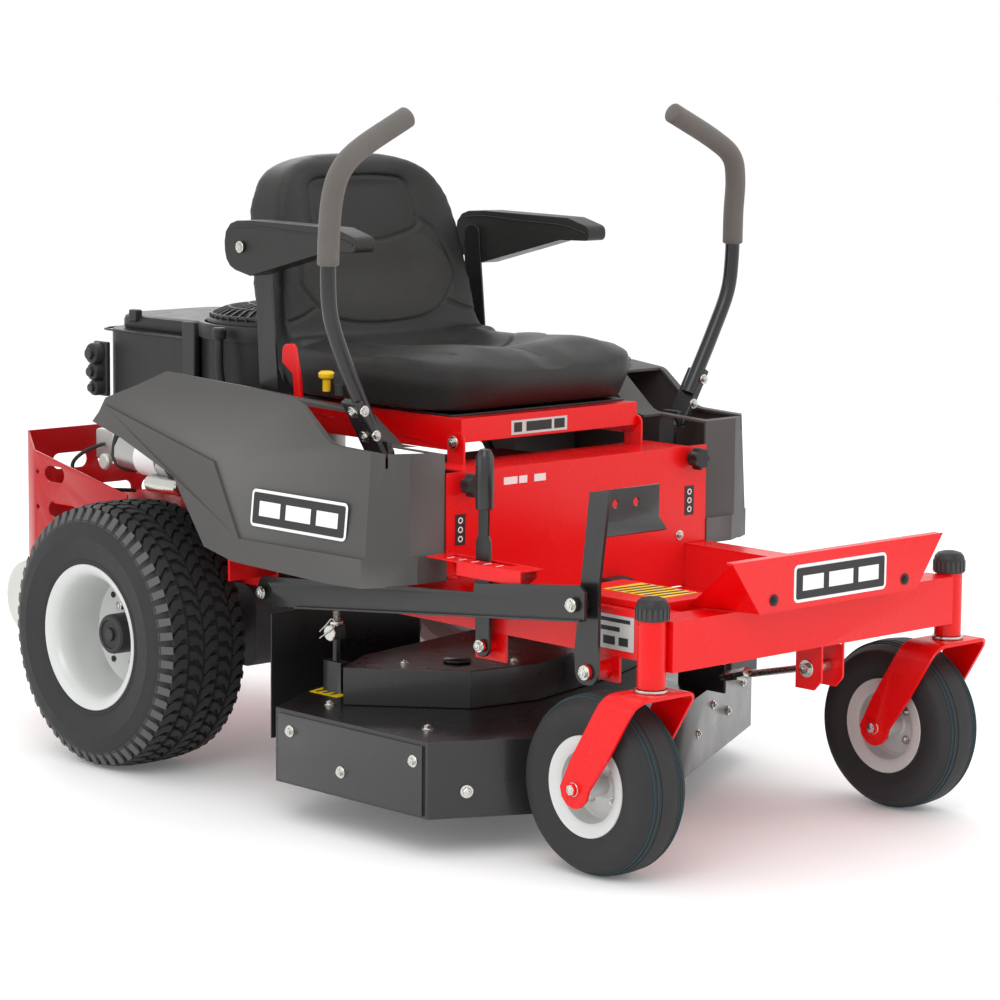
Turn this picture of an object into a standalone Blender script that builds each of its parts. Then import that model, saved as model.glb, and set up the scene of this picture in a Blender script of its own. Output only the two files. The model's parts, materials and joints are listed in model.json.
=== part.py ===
"""Zero-turn riding lawn mower, built from separate parts at real size.

Metres, +Z up, ground at Z = 0.  The mower faces -Y, so the operator's right hand is at -X.
Stations (the second value of every point below) run rearward from the front caster pivots.
CASTER_Y moves station zero so that the origin lies under the middle of the whole machine.
"""
import math
import bpy
import bmesh
from mathutils import Matrix, Vector

# ---------------------------------------------------------------- driving dimensions
CASTER_Y = -0.890          # station zero (the caster pivots) in the part's own Y
GAP = 0.0005               # clearance between touching pieces
SHEET = 0.003              # sheet-metal thickness

CASTER_X = 0.344           # caster pivot, sideways
CASTER_TRAIL = 0.095       # axle behind the pivot
CASTER_R = 0.1397          # 11 inch caster tyre
CASTER_W = 0.100
CASTER_TUBE_Z = (0.300, 0.404)
CASTER_TUBE_R = 0.022
STEM_R = 0.0127

WHEELBASE = 1.195
DRIVE_R = 0.2285           # 18 inch turf tyre
DRIVE_W = 0.190
DRIVE_X = 0.405            # middle of the drive tyre

RAIL_X = (0.250, 0.300)    # frame rail, inner and outer face
RAIL_Z = (0.325, 0.400)
RAIL_END = 1.400
BEAM_S = (-0.025, 0.030)   # front beam, front and back face
PANEL_S = 0.500            # front face of the seat riser panel
PANEL_TOP = 0.566

FENDER_X = (0.262, 0.440)  # inner edge and outer wall
FENDER_WALL = 0.004
FENDER_BAND = 0.006        # how far the lower band stands proud

HINGE = (0.581, 0.601)     # seat hinge axis (station, z)
PLATFORM_X = 0.2025
ARM_PIVOT = (1.030, 0.897)
ARM_X = (0.2455, 0.2880)

LAP_S = 0.617              # lap lever pivot station
LAP_Z = 0.500
SWING = (0.332, 0.585)     # lap bar outward-swing axis (x, z)

LEVER = (0.397, 0.305)     # height lever pivot
LEVER_X = (0.312, 0.318)
PEDAL = (0.142, 0.302)     # lift pedal pivot
PEDAL_X = (0.332, 0.338)
BAR_X = (0.352, 0.358)
BAR_FRONT = (0.151, 0.407)
BAR_REAR = (0.884, 0.333)
SHAFT = (0.884, 0.420)     # lift cross-shaft
ROD_S = 0.731              # deck hanger rods
ROD_X = 0.333
ARM_PLATE_X = (0.3085, 0.3145)

DECK_Z = (0.062, 0.183)
BLADES = {"right": (-0.225, 0.555, 0.222), "left": (0.205, 0.680, 0.215)}
PULLEY_R = 0.055
BELT_Z = (0.199, 0.211)
FRONT_PIVOT = (0.035, 0.005, 0.285)
FRONT_ROD_END = (0.134, 0.300, 0.212)

ENGINE = (0.0, 1.240)      # crankshaft (x, station)
BLOWER_R = 0.165
GUARD = (0.200, 0.250, 1.690, 1.778)
GUARD_SLOT_Z = (0.445, 0.380, 0.315)
MUFFLER = (1.770, 0.190, 0.077)

ROUND = 32
SMALL = 12


# ---------------------------------------------------------------- modelling helpers
def clear_scene():
    for item in list(bpy.data.objects):
        bpy.data.objects.remove(item, do_unlink=True)


def point(x, s, z):
    return Vector((x, s + CASTER_Y, z))


def solid(bm):
    """A linked object from a bmesh, with its faces pointing outward."""
    bmesh.ops.remove_doubles(bm, verts=bm.verts, dist=1e-6)
    bmesh.ops.recalc_face_normals(bm, faces=bm.faces)
    mesh = bpy.data.meshes.new("solid")
    bm.to_mesh(mesh)
    bm.free()
    item = bpy.data.objects.new("solid", mesh)
    bpy.context.scene.collection.objects.link(item)
    return item


def rounded(corners, steps=3):
    """Outline from (a, b) or (a, b, radius) corners; a radius becomes an arc."""
    out = []
    count = len(corners)
    for i, corner in enumerate(corners):
        here = Vector(corner[:2])
        if len(corner) < 3:
            out.append(tuple(here))
            continue
        before = (Vector(corners[i - 1][:2]) - here).normalized()
        after = (Vector(corners[(i + 1) % count][:2]) - here).normalized()
        half = before.angle(after) / 2
        middle = here + (before + after).normalized() * corner[2] / math.sin(half)
        start = here + before * corner[2] / math.tan(half) - middle
        finish = here + after * corner[2] / math.tan(half) - middle
        turn = math.pi - 2 * half
        if start.x * finish.y - start.y * finish.x < 0:
            turn = -turn
        for k in range(steps + 1):
            spin = Matrix.Rotation(turn * k / steps, 2)
            out.append(tuple(middle + spin @ start))
    return out


def inset(outline, distance):
    """The same outline moved inward by a distance, mitred at the corners."""
    area = sum(a[0] * b[1] - b[0] * a[1] for a, b in zip(outline, outline[1:] + outline[:1]))
    side = 1 if area > 0 else -1
    out = []
    for i, corner in enumerate(outline):
        here = Vector(corner)
        before = (here - Vector(outline[i - 1])).normalized()
        after = (Vector(outline[(i + 1) % len(outline)]) - here).normalized()
        first = Vector((-before.y, before.x)) * side
        second = Vector((-after.y, after.x)) * side
        middle = (first + second).normalized()
        out.append(tuple(here + middle * distance / max(middle.dot(first), 0.3)))
    return out


def prism(outline, axis, low, high):
    """Extruded outline: axis X takes (s, z), axis Y takes (x, z), axis Z takes (x, s)."""
    def place(a, b, c):
        if axis == "X":
            return point(c, a, b)
        if axis == "Y":
            return point(a, c, b)
        return point(a, b, c)

    bm = bmesh.new()
    first = [bm.verts.new(place(a, b, low)) for a, b in outline]
    second = [bm.verts.new(place(a, b, high)) for a, b in outline]
    bm.faces.new(first)
    bm.faces.new(reversed(second))
    for i in range(len(outline)):
        j = (i + 1) % len(outline)
        bm.faces.new((first[i], first[j], second[j], second[i]))
    return solid(bm)


def box(x, s, z):
    return prism([(x[0], s[0]), (x[1], s[0]), (x[1], s[1]), (x[0], s[1])], "Z", z[0], z[1])


def sided(side, low, high):
    """An X range on one side of the machine: side is -1 (right) or +1 (left)."""
    return (low, high) if side > 0 else (-high, -low)


AXES = {"X": (Vector((1, 0, 0)), Vector((0, 1, 0))),
        "Y": (Vector((0, 1, 0)), Vector((0, 0, 1))),
        "Z": (Vector((0, 0, 1)), Vector((1, 0, 0)))}


def lathe(profile, centre, axis, count=ROUND):
    """Closed turned solid; the profile is (radius, height) pairs, height along the axis."""
    along, across = AXES[axis] if isinstance(axis, str) else axis
    other = along.cross(across)
    bm = bmesh.new()
    rings = []
    for radius, height in profile:
        spot = centre + along * height
        if radius == 0:
            rings.append([bm.verts.new(spot)])
            continue
        ring = []
        for k in range(count):
            angle = 2 * math.pi * k / count
            ring.append(bm.verts.new(spot + radius * (math.cos(angle) * across + math.sin(angle) * other)))
        rings.append(ring)
    pairs = list(zip(rings, rings[1:]))
    if len(rings[0]) > 1:
        pairs.append((rings[-1], rings[0]))
    for lower, upper in pairs:
        for k in range(count):
            n = (k + 1) % count
            if len(lower) == 1 and len(upper) == 1:
                break
            if len(lower) == 1:
                bm.faces.new((lower[0], upper[k], upper[n]))
            elif len(upper) == 1:
                bm.faces.new((lower[k], upper[0], lower[n]))
            else:
                bm.faces.new((lower[k], upper[k], upper[n], lower[n]))
    return solid(bm)


def rod(start, end, radius, count=SMALL):
    """Straight round bar between two points."""
    along = (end - start).normalized()
    across = along.orthogonal().normalized()
    length = (end - start).length
    profile = [(0, 0), (radius, 0), (radius, length), (0, length)]
    return lathe(profile, start, (along, across), count)


def smooth_path(knots, steps):
    """Catmull-Rom points through the knots."""
    ends = [knots[0] * 2 - knots[1]] + knots + [knots[-1] * 2 - knots[-2]]
    out = []
    for a, b, c, d in zip(ends, ends[1:], ends[2:], ends[3:]):
        for k in range(steps):
            t = k / steps
            out.append(0.5 * (2 * b + (c - a) * t + (2 * a - 5 * b + 4 * c - d) * t * t
                              + (3 * b - a - 3 * c + d) * t ** 3))
    return out + [knots[-1]]


def tube(path, radius, count=16, inner=0.0):
    """Round bar along a path; an inner radius leaves a bore that runs right through."""
    bm = bmesh.new()
    across = (path[1] - path[0]).orthogonal().normalized()
    shells = []
    for size in ([radius, inner] if inner else [radius]):
        side = across.copy()
        rings = []
        for i, spot in enumerate(path):
            along = (path[min(i + 1, len(path) - 1)] - path[max(i - 1, 0)]).normalized()
            side = (side - along * side.dot(along)).normalized()
            other = along.cross(side)
            ring = []
            for k in range(count):
                angle = 2 * math.pi * k / count
                ring.append(bm.verts.new(spot + size * (math.cos(angle) * side + math.sin(angle) * other)))
            rings.append(ring)
        for lower, upper in zip(rings, rings[1:]):
            for k in range(count):
                n = (k + 1) % count
                bm.faces.new((lower[k], lower[n], upper[n], upper[k]))
        shells.append(rings)
    if inner:
        for end in (0, -1):
            for k in range(count):
                n = (k + 1) % count
                bm.faces.new((shells[0][end][k], shells[0][end][n], shells[1][end][n], shells[1][end][k]))
    else:
        bm.faces.new(shells[0][0])
        bm.faces.new(shells[0][-1])
    return solid(bm)


def combine(base, tools, operation):
    """Boolean the tools into the base one by one and keep the evaluated mesh."""
    for tool in tools:
        step = base.modifiers.new("step", "BOOLEAN")
        step.object = tool
        step.operation = operation
        step.solver = "EXACT"
        bpy.context.view_layer.update()
        graph = bpy.context.evaluated_depsgraph_get()
        mesh = bpy.data.meshes.new_from_object(base.evaluated_get(graph))
        base.modifiers.clear()
        base.data = mesh
        bpy.data.objects.remove(tool, do_unlink=True)
    return base


def union(*pieces):
    return combine(pieces[0], pieces[1:], "UNION")


def cut(base, *tools):
    return combine(base, tools, "DIFFERENCE")


def linear(value):
    value /= 255
    return value / 12.92 if value <= 0.04045 else ((value + 0.055) / 1.055) ** 2.4


def material(name, rgb, roughness, metallic=0.0):
    made = bpy.data.materials.new(name)
    made.use_nodes = True
    shader = made.node_tree.nodes["Principled BSDF"]
    shader.inputs["Base Color"].default_value = (*[linear(c) for c in rgb], 1)
    shader.inputs["Roughness"].default_value = roughness
    shader.inputs["Metallic"].default_value = metallic
    return made


def node(name, item, finish, origin=None):
    """Name a finished piece, give it its material, and set its origin on its joint's axis."""
    item.name = name
    item.data.name = name
    item.data.materials.clear()
    item.data.materials.append(finish)
    item.data.shade_smooth()
    item.data.set_sharp_from_angle(angle=math.radians(32))
    if origin is not None:
        item.data.transform(Matrix.Translation(-origin))
        item.location = origin
    return item


# ---------------------------------------------------------------- frame and sheet metal
def main_frame(red):
    """Welded rails, front beam, caster tubes with caps, cross members and pivot brackets."""
    pieces = []
    for side in (-1, 1):
        x = sided(side, *RAIL_X)
        pieces.append(box(x, (0.0, RAIL_END), RAIL_Z))
        pivot = point(side * CASTER_X, 0, 0)
        low, high = CASTER_TUBE_Z
        radius = CASTER_TUBE_R
        cap = [(radius, high), (0.0245, high), (0.0245, high + 0.018), (0.021, high + 0.027),
               (0.011, high + 0.032), (0, high + 0.032)]
        bore = STEM_R + 0.0015
        pieces.append(lathe([(0, high - 0.010), (bore, high - 0.010), (bore, low), (radius, low)] + cap,
                            pivot, "Z", 16))
        pieces.append(box(sided(side, 0.295, 0.400), (0.925, 0.930), (0.350, 0.430)))
        bearing = box(sided(side, 0.268, 0.298), (SHAFT[0] - 0.02, SHAFT[0] + 0.02), (0.395, 0.445))
        pieces.append(bearing)
    pieces.append(box((-0.325, 0.325), BEAM_S, (0.323, 0.400)))
    pieces.append(box((-0.26, 0.26), (PANEL_S + 0.006, PANEL_S + 0.045), (0.330, 0.395)))
    pieces.append(box((-0.26, 0.26), (0.930, 0.960), (0.345, 0.395)))
    pieces.append(box((-0.26, 0.26), (0.630, 0.790), (0.385, 0.399)))
    pieces.append(box((-0.26, 0.26), (1.360, RAIL_END), (0.330, 0.396)))
    pieces.append(box((-0.26, 0.26), (1.040, RAIL_END - 0.002), (0.390, 0.398)))
    pieces.append(box((-0.2455, 0.2455), (RAIL_END - 0.01, 1.640), (0.3905, 0.3975)))
    # brackets on the right rail for the lift pedal and the height lever
    pieces.append(box((-0.299, -0.294), (PEDAL[0] - 0.03, PEDAL[0] + 0.03), (0.285, 0.330)))
    pieces.append(pivot_pin(PEDAL, 0.296, PEDAL_X, 0.0085))
    pieces.append(box((-0.299, -0.294), (LEVER[0] - 0.035, LEVER[0] + 0.035), (0.280, 0.330)))
    pieces.append(pivot_pin(LEVER, 0.296, LEVER_X, 0.0065))
    for x in (0.008, 0.058):
        ear = rounded([(BEAM_S[0], 0.330), (BEAM_S[0], 0.268, 0.01), (-0.010, 0.252),
                       (0.028, 0.252), (0.028, 0.330)])
        pieces.append(prism(ear, "X", x, x + 0.004))
    frame = union(*pieces)
    hollows = [box((-0.30, 0.30), (BEAM_S[0] + SHEET, BEAM_S[1] - SHEET), (0.320, 0.397))]
    hollows.append(rod(point(*ENGINE, 0.37), point(*ENGINE, 0.41), 0.022, 24))
    for side in (-1, 1):
        hollows.append(box(sided(side, RAIL_X[0] + SHEET, RAIL_X[1] - SHEET),
                           (BEAM_S[1] + 0.004, RAIL_END + 0.01), (RAIL_Z[0] + SHEET, RAIL_Z[1] - SHEET)))
        low, high = sided(side, 0.25, 0.31)
        hollows.append(rod(point(low, *SHAFT), point(high, *SHAFT), 0.0118))
    return node("main_frame", cut(frame, *hollows), red)


def pivot_pin(pivot, root, plate, radius):
    """Shouldered pin on the right rail: boss, pin through the plate, retaining head."""
    inner, outer = plate
    profile = [(0, root), (radius + 0.006, root), (radius + 0.006, inner - GAP), (radius, inner - GAP),
               (radius, outer + GAP), (radius + 0.004, outer + GAP), (radius + 0.004, outer + GAP + 0.005),
               (0, outer + GAP + 0.005)]
    return lathe(profile, point(0, *pivot), (Vector((-1, 0, 0)), Vector((0, 1, 0))), SMALL)


def foot_pan(red):
    """Footwell floor between the rails, with the raised step on the right rail."""
    edge = RAIL_X[0] - GAP
    floor = box((-edge, edge), (BEAM_S[1] + GAP, PANEL_S - GAP), (0.3235, 0.3265))
    step = box((-edge, -0.150), (0.055, 0.250), (0.3240, 0.4120))
    ledge = box((-0.2855, -edge + 0.002), (0.055, 0.250), (RAIL_Z[1] + GAP, 0.4120))
    return node("foot_pan", union(floor, step, ledge), red)


def riser_panel(red):
    """Upright panel that carries the seat hinge ears on its folded top flange."""
    inner = RAIL_X[0] - GAP
    top = RAIL_Z[1] + GAP
    outline = [(-inner, 0.3275), (inner, 0.3275), (inner, top), (RAIL_X[1], top),
               (RAIL_X[1], PANEL_TOP), (-RAIL_X[1], PANEL_TOP), (-RAIL_X[1], top), (-inner, top)]
    pieces = [prism(outline, "Y", PANEL_S, PANEL_S + SHEET),
              box((-0.258, 0.258), (PANEL_S + 0.001, 0.605), (PANEL_TOP - SHEET, PANEL_TOP))]
    for side in (-1, 1):
        ear = rounded([(0.562, 0.564), (0.602, 0.564), (0.602, 0.617, 0.012), (0.562, 0.617, 0.012)])
        low, high = sided(side, PLATFORM_X + GAP, PLATFORM_X + GAP + 0.004)
        pieces.append(prism(ear, "X", low, high))
    bore = rod(point(-0.22, *HINGE), point(0.22, *HINGE), 0.005 + GAP)
    return node("riser_panel", cut(union(*pieces), bore), red)


def bumper_plate(red):
    """Front plate with a folded top edge, a foot flange on the beam and two side gussets."""
    front = -0.067
    face = [(-0.182, 0.4005), (0.182, 0.4005), (0.244, 0.484), (-0.244, 0.484)]
    pieces = [prism(face, "Y", front, front + SHEET),
              box((-0.240, 0.240), (front + 0.001, front + 0.016), (0.481, 0.484)),
              box((-0.180, 0.180), (front + 0.001, 0.029), (0.4005, 0.4035))]
    for side in (-1, 1):
        pieces.append(gusset(side, front))
    return node("bumper_plate", union(*pieces), red)


def gusset(side, front):
    """Triangular side wing from the plate's slanted edge back to the footwell."""
    corners = [(0.2425, front + 0.001, 0.4835), (0.180, front + 0.001, 0.4007), (0.215, 0.052, 0.4007)]
    bm = bmesh.new()
    outer = [bm.verts.new(point(side * x, s, z)) for x, s, z in corners]
    inner = [bm.verts.new(point(side * (x - 0.0035), s, z)) for x, s, z in corners]
    bm.faces.new(outer)
    bm.faces.new(inner)
    for i in range(3):
        j = (i + 1) % 3
        bm.faces.new((outer[i], outer[j], inner[j], inner[i]))
    return solid(bm)


def height_gate(red):
    """Slotted guide for the height lever, on a leg bolted to the right rail."""
    low, high = -0.3035, -0.3005
    leg = rounded([(0.400, 0.345), (0.440, 0.345), (0.490, 0.441), (0.290, 0.441), (0.290, 0.425)])
    pieces = [prism(leg, "X", low, high),
              box((-0.352, low + 0.001), (0.275, 0.490), (0.438, 0.441)),
              box((-0.352, -0.349), (0.275, 0.420), (0.418, 0.440))]
    slot = box((LEVER_X[1] * -1 - 0.004, -0.308), (0.325, 0.470), (0.430, 0.450))
    return node("height_gate", cut(union(*pieces), slot), red)


def slot(start, end, level):
    """Rounded slot outline about a level, for the guard's vents."""
    radius = 0.0145
    return rounded([(start, level - 0.015, radius), (end, level - 0.015, radius),
                    (end, level + 0.015, radius), (start, level + 0.015, radius)], 1)


def rear_guard(red):
    """Bent, slotted guard round the exhaust; its wings slope down toward the wheels."""
    inner_x, outer_x, corner, back = GUARD
    plan = [(-outer_x, 1.405), (-outer_x, corner), (-inner_x, back), (inner_x, back),
            (outer_x, corner), (outer_x, 1.405)]
    inner = inset(plan + [], SHEET)
    inner[0] = (plan[0][0] + SHEET, plan[0][1])
    inner[-1] = (plan[-1][0] - SHEET, plan[-1][1])
    wall = prism(plan + inner[::-1], "Z", 0.272, 0.509)
    slope = prism([(1.30, 0.410), (corner - 0.005, 0.484), (back - 0.006, 0.5085), (back - 0.006, 0.60),
                   (1.30, 0.60)], "X", -0.30, 0.30)
    tools = [slope]
    for level in GUARD_SLOT_Z:
        upper = level == GUARD_SLOT_Z[0]
        runs = [(1.585 if upper else 1.560, 1.645)]
        if not upper:
            runs.append((1.430, 1.515))
        for side in (-1, 1):
            for start, end in runs:
                tools.append(prism(slot(start, end, level), "X", *sided(side, 0.22, 0.27)))
        for middle in (-0.105, 0.0, 0.105):
            tools.append(prism(slot(middle - 0.040, middle + 0.040, level), "Y", back - 0.02, back + 0.02))
    return node("rear_guard", cut(wall, *tools), red)


# ---------------------------------------------------------------- fenders
def fender(name, side, plastic, openings):
    """Moulded shell: outer wall, top and front, open below and inboard."""
    profile = [(1.257, 0.593), (1.233, 0.633), (1.143, 0.663), (1.065, 0.692), (0.796, 0.681),
               (0.718, 0.673, 0.03), (0.640, 0.610, 0.04), (0.5035, 0.605), (0.5035, 0.394),
               (0.621, 0.391), (0.862, 0.398), (0.935, 0.414), (1.021, 0.522), (1.172, 0.572)]
    outline = rounded(profile)
    inner_edge, outer = FENDER_X
    shell = prism(outline, "X", *sided(side, inner_edge, outer))
    band = rounded([(0.500, 0.392), (0.621, 0.389), (0.862, 0.396), (0.936, 0.412), (1.022, 0.520),
                    (1.172, 0.570), (1.257, 0.591), (1.228, 0.622), (0.919, 0.555), (0.846, 0.436),
                    (0.500, 0.438)])
    shell = union(shell, prism(band, "X", *sided(side, outer - 0.03, outer + FENDER_BAND)))
    front_band = box(sided(side, 0.3015, outer - 0.02), (0.4975, 0.53), (0.3945, 0.438))
    shell = union(shell, front_band)
    # the front outer corner is cut off at an angle, and the wall leans in toward the top
    near, far = side * 0.350, side * 0.480
    corner = prism([(near, 0.490), (far, 0.490), (far, 0.558)], "Z", 0.3, 0.8)
    hollow_profile = inset(outline, FENDER_WALL)
    hollow = prism(hollow_profile, "X", *sided(side, 0.20, outer - FENDER_WALL))
    below = prism([(0.5075, 0.30), (1.30, 0.30), (1.30, 0.560), (1.172, 0.566), (1.021, 0.517),
                   (0.935, 0.409), (0.935, 0.45), (0.5075, 0.45)], "X", *sided(side, 0.20, outer - FENDER_WALL))
    hollow = union(hollow, below)
    wall = 0.0055
    inner_corner = prism([(near, 0.490), (far, 0.490), (far, 0.558 + wall), (near, 0.490 + wall)], "Z", 0.25, 0.85)
    hollow = cut(hollow, inner_corner)
    panel_side = box(sided(side, 0.2, RAIL_X[1] + 0.0015), (0.45, 0.612), (0.30, 0.70))
    shell = cut(shell, corner, hollow, panel_side, *openings(side))
    return node(name, shell, plastic)


def lap_slot(side):
    """Opening in the fender's top where the lap lever comes through."""
    return box(sided(side, 0.318, 0.411), (0.520, 0.722), (0.58, 0.72))


def right_openings(side):
    """Slots in the control fender for the lap lever, throttle, choke and key."""
    holes = [lap_slot(side), box(sided(side, 0.292, 0.308), (0.815, 0.912), (0.66, 0.71))]
    for station, radius in ((0.795, 0.0075), (0.762, 0.0085)):
        holes.append(rod(point(side * 0.300, station, 0.66), point(side * 0.300, station, 0.72), radius))
    return holes


def left_openings(side):
    """Lap lever slot and the filler hole; the cup well is a separate insert."""
    return [lap_slot(side),
            rod(point(0.350, 0.800, 0.66), point(0.350, 0.800, 0.72), 0.0425, 32),
            rod(point(0.345, 0.985, 0.66), point(0.345, 0.985, 0.72), 0.0200, 24)]


def cup_holder(plastic):
    """Drop-in cup well with a rim that rests on the left fender."""
    top = 0.6835
    profile = [(0, top - 0.075), (0.040, top - 0.075), (0.0415, top), (0.048, top), (0.048, top + 0.006),
               (0.0385, top + 0.006), (0.0370, top - 0.072), (0, top - 0.072)]
    return node("cup_holder", lathe(profile, point(0.350, 0.800, 0), "Z", 32), plastic)


# ---------------------------------------------------------------- wheels and casters
def caster_fork(name, side, red):
    """Bent strap fork with its stem and axle bolt, swivelling on the caster tube's axis."""
    pivot = Vector((side * CASTER_X, 0, 0))
    top, half, strap = 0.2935, CASTER_W / 2 + 0.016, 0.006
    axle_z, round_r, width = CASTER_R, 0.030, 0.036
    lean = CASTER_TRAIL / (top - axle_z)
    stations = []
    for z in [axle_z - round_r * math.cos(math.radians(a)) for a in (0, 30, 60, 90)] + [0.19, 0.23, 0.262]:
        middle = lean * (top - z)
        reach = width
        if z <= axle_z:
            middle = CASTER_TRAIL
            reach = max(math.sqrt(max(round_r ** 2 - (z - axle_z) ** 2, 0)), 0.004)
        stations.append((half, z, middle, reach if z > axle_z else reach))
    bend = 0.022
    for a in (15, 35, 55, 75, 90):
        angle = math.radians(a)
        x = half - bend + bend * math.cos(angle)
        z = top - bend + bend * math.sin(angle)
        stations.append((x, z, lean * (top - z), width))
    path = [(x, z, m, w) for x, z, m, w in stations]
    path += [(-x, z, m, w) for x, z, m, w in reversed(stations)]
    bm = bmesh.new()
    rings = []
    for i, (x, z, middle, reach) in enumerate(path):
        before = path[max(i - 1, 0)]
        after = path[min(i + 1, len(path) - 1)]
        along = Vector((after[0] - before[0], after[1] - before[1])).normalized()
        inward = Vector((along.y, -along.x)) * -strap
        ring = []
        for dx, dz, s in ((0, 0, middle - reach), (0, 0, middle + reach),
                          (inward.x, inward.y, middle + reach), (inward.x, inward.y, middle - reach)):
            ring.append(bm.verts.new(point(pivot.x + x + dx, s, z + dz)))
        rings.append(ring)
    for lower, upper in zip(rings, rings[1:]):
        for k in range(4):
            bm.faces.new((lower[k], lower[(k + 1) % 4], upper[(k + 1) % 4], upper[k]))
    bm.faces.new(rings[0])
    bm.faces.new(rings[-1])
    fork = solid(bm)
    centre = point(pivot.x, 0, 0)
    washer = [(0, top - 0.003), (0.020, top - 0.003), (0.020, CASTER_TUBE_Z[0] - GAP),
              (STEM_R, CASTER_TUBE_Z[0] - GAP), (STEM_R, CASTER_TUBE_Z[1] - 0.011),
              (0, CASTER_TUBE_Z[1] - 0.011)]
    reach = half + 0.008
    bolt = [(0, -reach), (0.010, -reach), (0.010, -half + 0.003), (0.0075, -half + 0.003),
            (0.0075, half - 0.003), (0.010, half - 0.003), (0.010, reach), (0, reach)]
    fork = union(fork, lathe(washer, centre, "Z", 16),
                 lathe(bolt, point(pivot.x, CASTER_TRAIL, axle_z), "X", SMALL))
    return node(name, fork, red, point(pivot.x, 0, top))


def caster_wheel(side, rubber, steel):
    """Smooth ribless tyre and pressed rim with hub, both turning on the axle bolt."""
    centre = point(side * CASTER_X, CASTER_TRAIL, CASTER_R)
    word = "right" if side < 0 else "left"
    half = CASTER_W / 2
    tyre = [(0.0690, -0.036), (0.080, -0.040), (0.100, -half), (0.120, -half + 0.001), (0.1345, -0.036),
            (CASTER_R, -0.014), (CASTER_R, 0.014), (0.1345, 0.036), (0.120, half - 0.001), (0.100, half),
            (0.080, 0.040), (0.0690, 0.036)]
    node("caster_tyre_" + word, lathe(tyre, centre, "X", 28), rubber, centre)
    rim = [(0.0083, -0.046), (0.017, -0.046), (0.018, -0.012), (0.050, -0.012), (0.058, -0.041),
           (0.0775, -0.042), (0.0780, -0.0402), (0.0682, -0.0365), (0.0682, 0.0365), (0.0780, 0.0402),
           (0.0775, 0.042), (0.058, 0.041), (0.050, 0.004), (0.018, 0.004), (0.017, 0.046), (0.0083, 0.046)]
    node("caster_rim_" + word, lathe(rim, centre, "X", 20), steel, centre)


def drive_wheel(side, rubber, steel):
    """Turf tyre, deep-dish rim with hub cap, and the axle stub that enters the transaxle."""
    centre = point(side * DRIVE_X, WHEELBASE, DRIVE_R)
    word = "right" if side < 0 else "left"
    out = (Vector((side, 0, 0)), Vector((0, 1, 0)))
    half = DRIVE_W / 2
    tyre = [(0.1115, -0.078), (0.126, -0.085), (0.150, -half + 0.001), (0.195, -half), (0.218, -0.082),
            (DRIVE_R, -0.045), (DRIVE_R, 0.045), (0.218, 0.082), (0.195, half), (0.150, half - 0.001),
            (0.126, 0.085), (0.1115, 0.078)]
    node("drive_tyre_" + word, lathe(tyre, centre, out, 36), rubber, centre)
    rim = [(0, -0.118), (0.0125, -0.118), (0.0125, -0.060), (0.030, -0.058), (0.034, -0.024),
           (0.090, -0.024), (0.102, -0.084), (0.125, -0.088), (0.1255, -0.0855), (0.1105, -0.0785),
           (0.1105, 0.0785), (0.1255, 0.0855), (0.125, 0.088), (0.102, 0.084), (0.096, -0.006),
           (0.034, -0.012), (0.034, 0.042), (0, 0.048)]
    node("drive_rim_" + word, lathe(rim, centre, out, 28), steel, centre)


def transaxle(side, iron):
    """Hydrostatic gearbox with its axle housing toward the wheel."""
    word = "right" if side < 0 else "left"
    pieces = [prism(rounded([(1.105, 0.150, 0.03), (1.285, 0.150, 0.03), (1.285, 0.300, 0.04),
                             (1.105, 0.300, 0.04)]), "X", *sided(side, 0.070, 0.195))]
    axle = point(0, WHEELBASE, DRIVE_R)
    out = (Vector((side, 0, 0)), Vector((0, 1, 0)))
    pieces.append(lathe([(0, 0.190), (0.045, 0.190), (0.030, 0.215), (0.030, 0.300), (0.0140, 0.300),
                         (0.0140, 0.284), (0, 0.284)], axle, out, 24))
    mount = box(sided(side, 0.110, 0.180), (1.150, 1.240), (0.290, 0.3895))
    return node("transaxle_" + word, union(*pieces, mount), iron)


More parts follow.
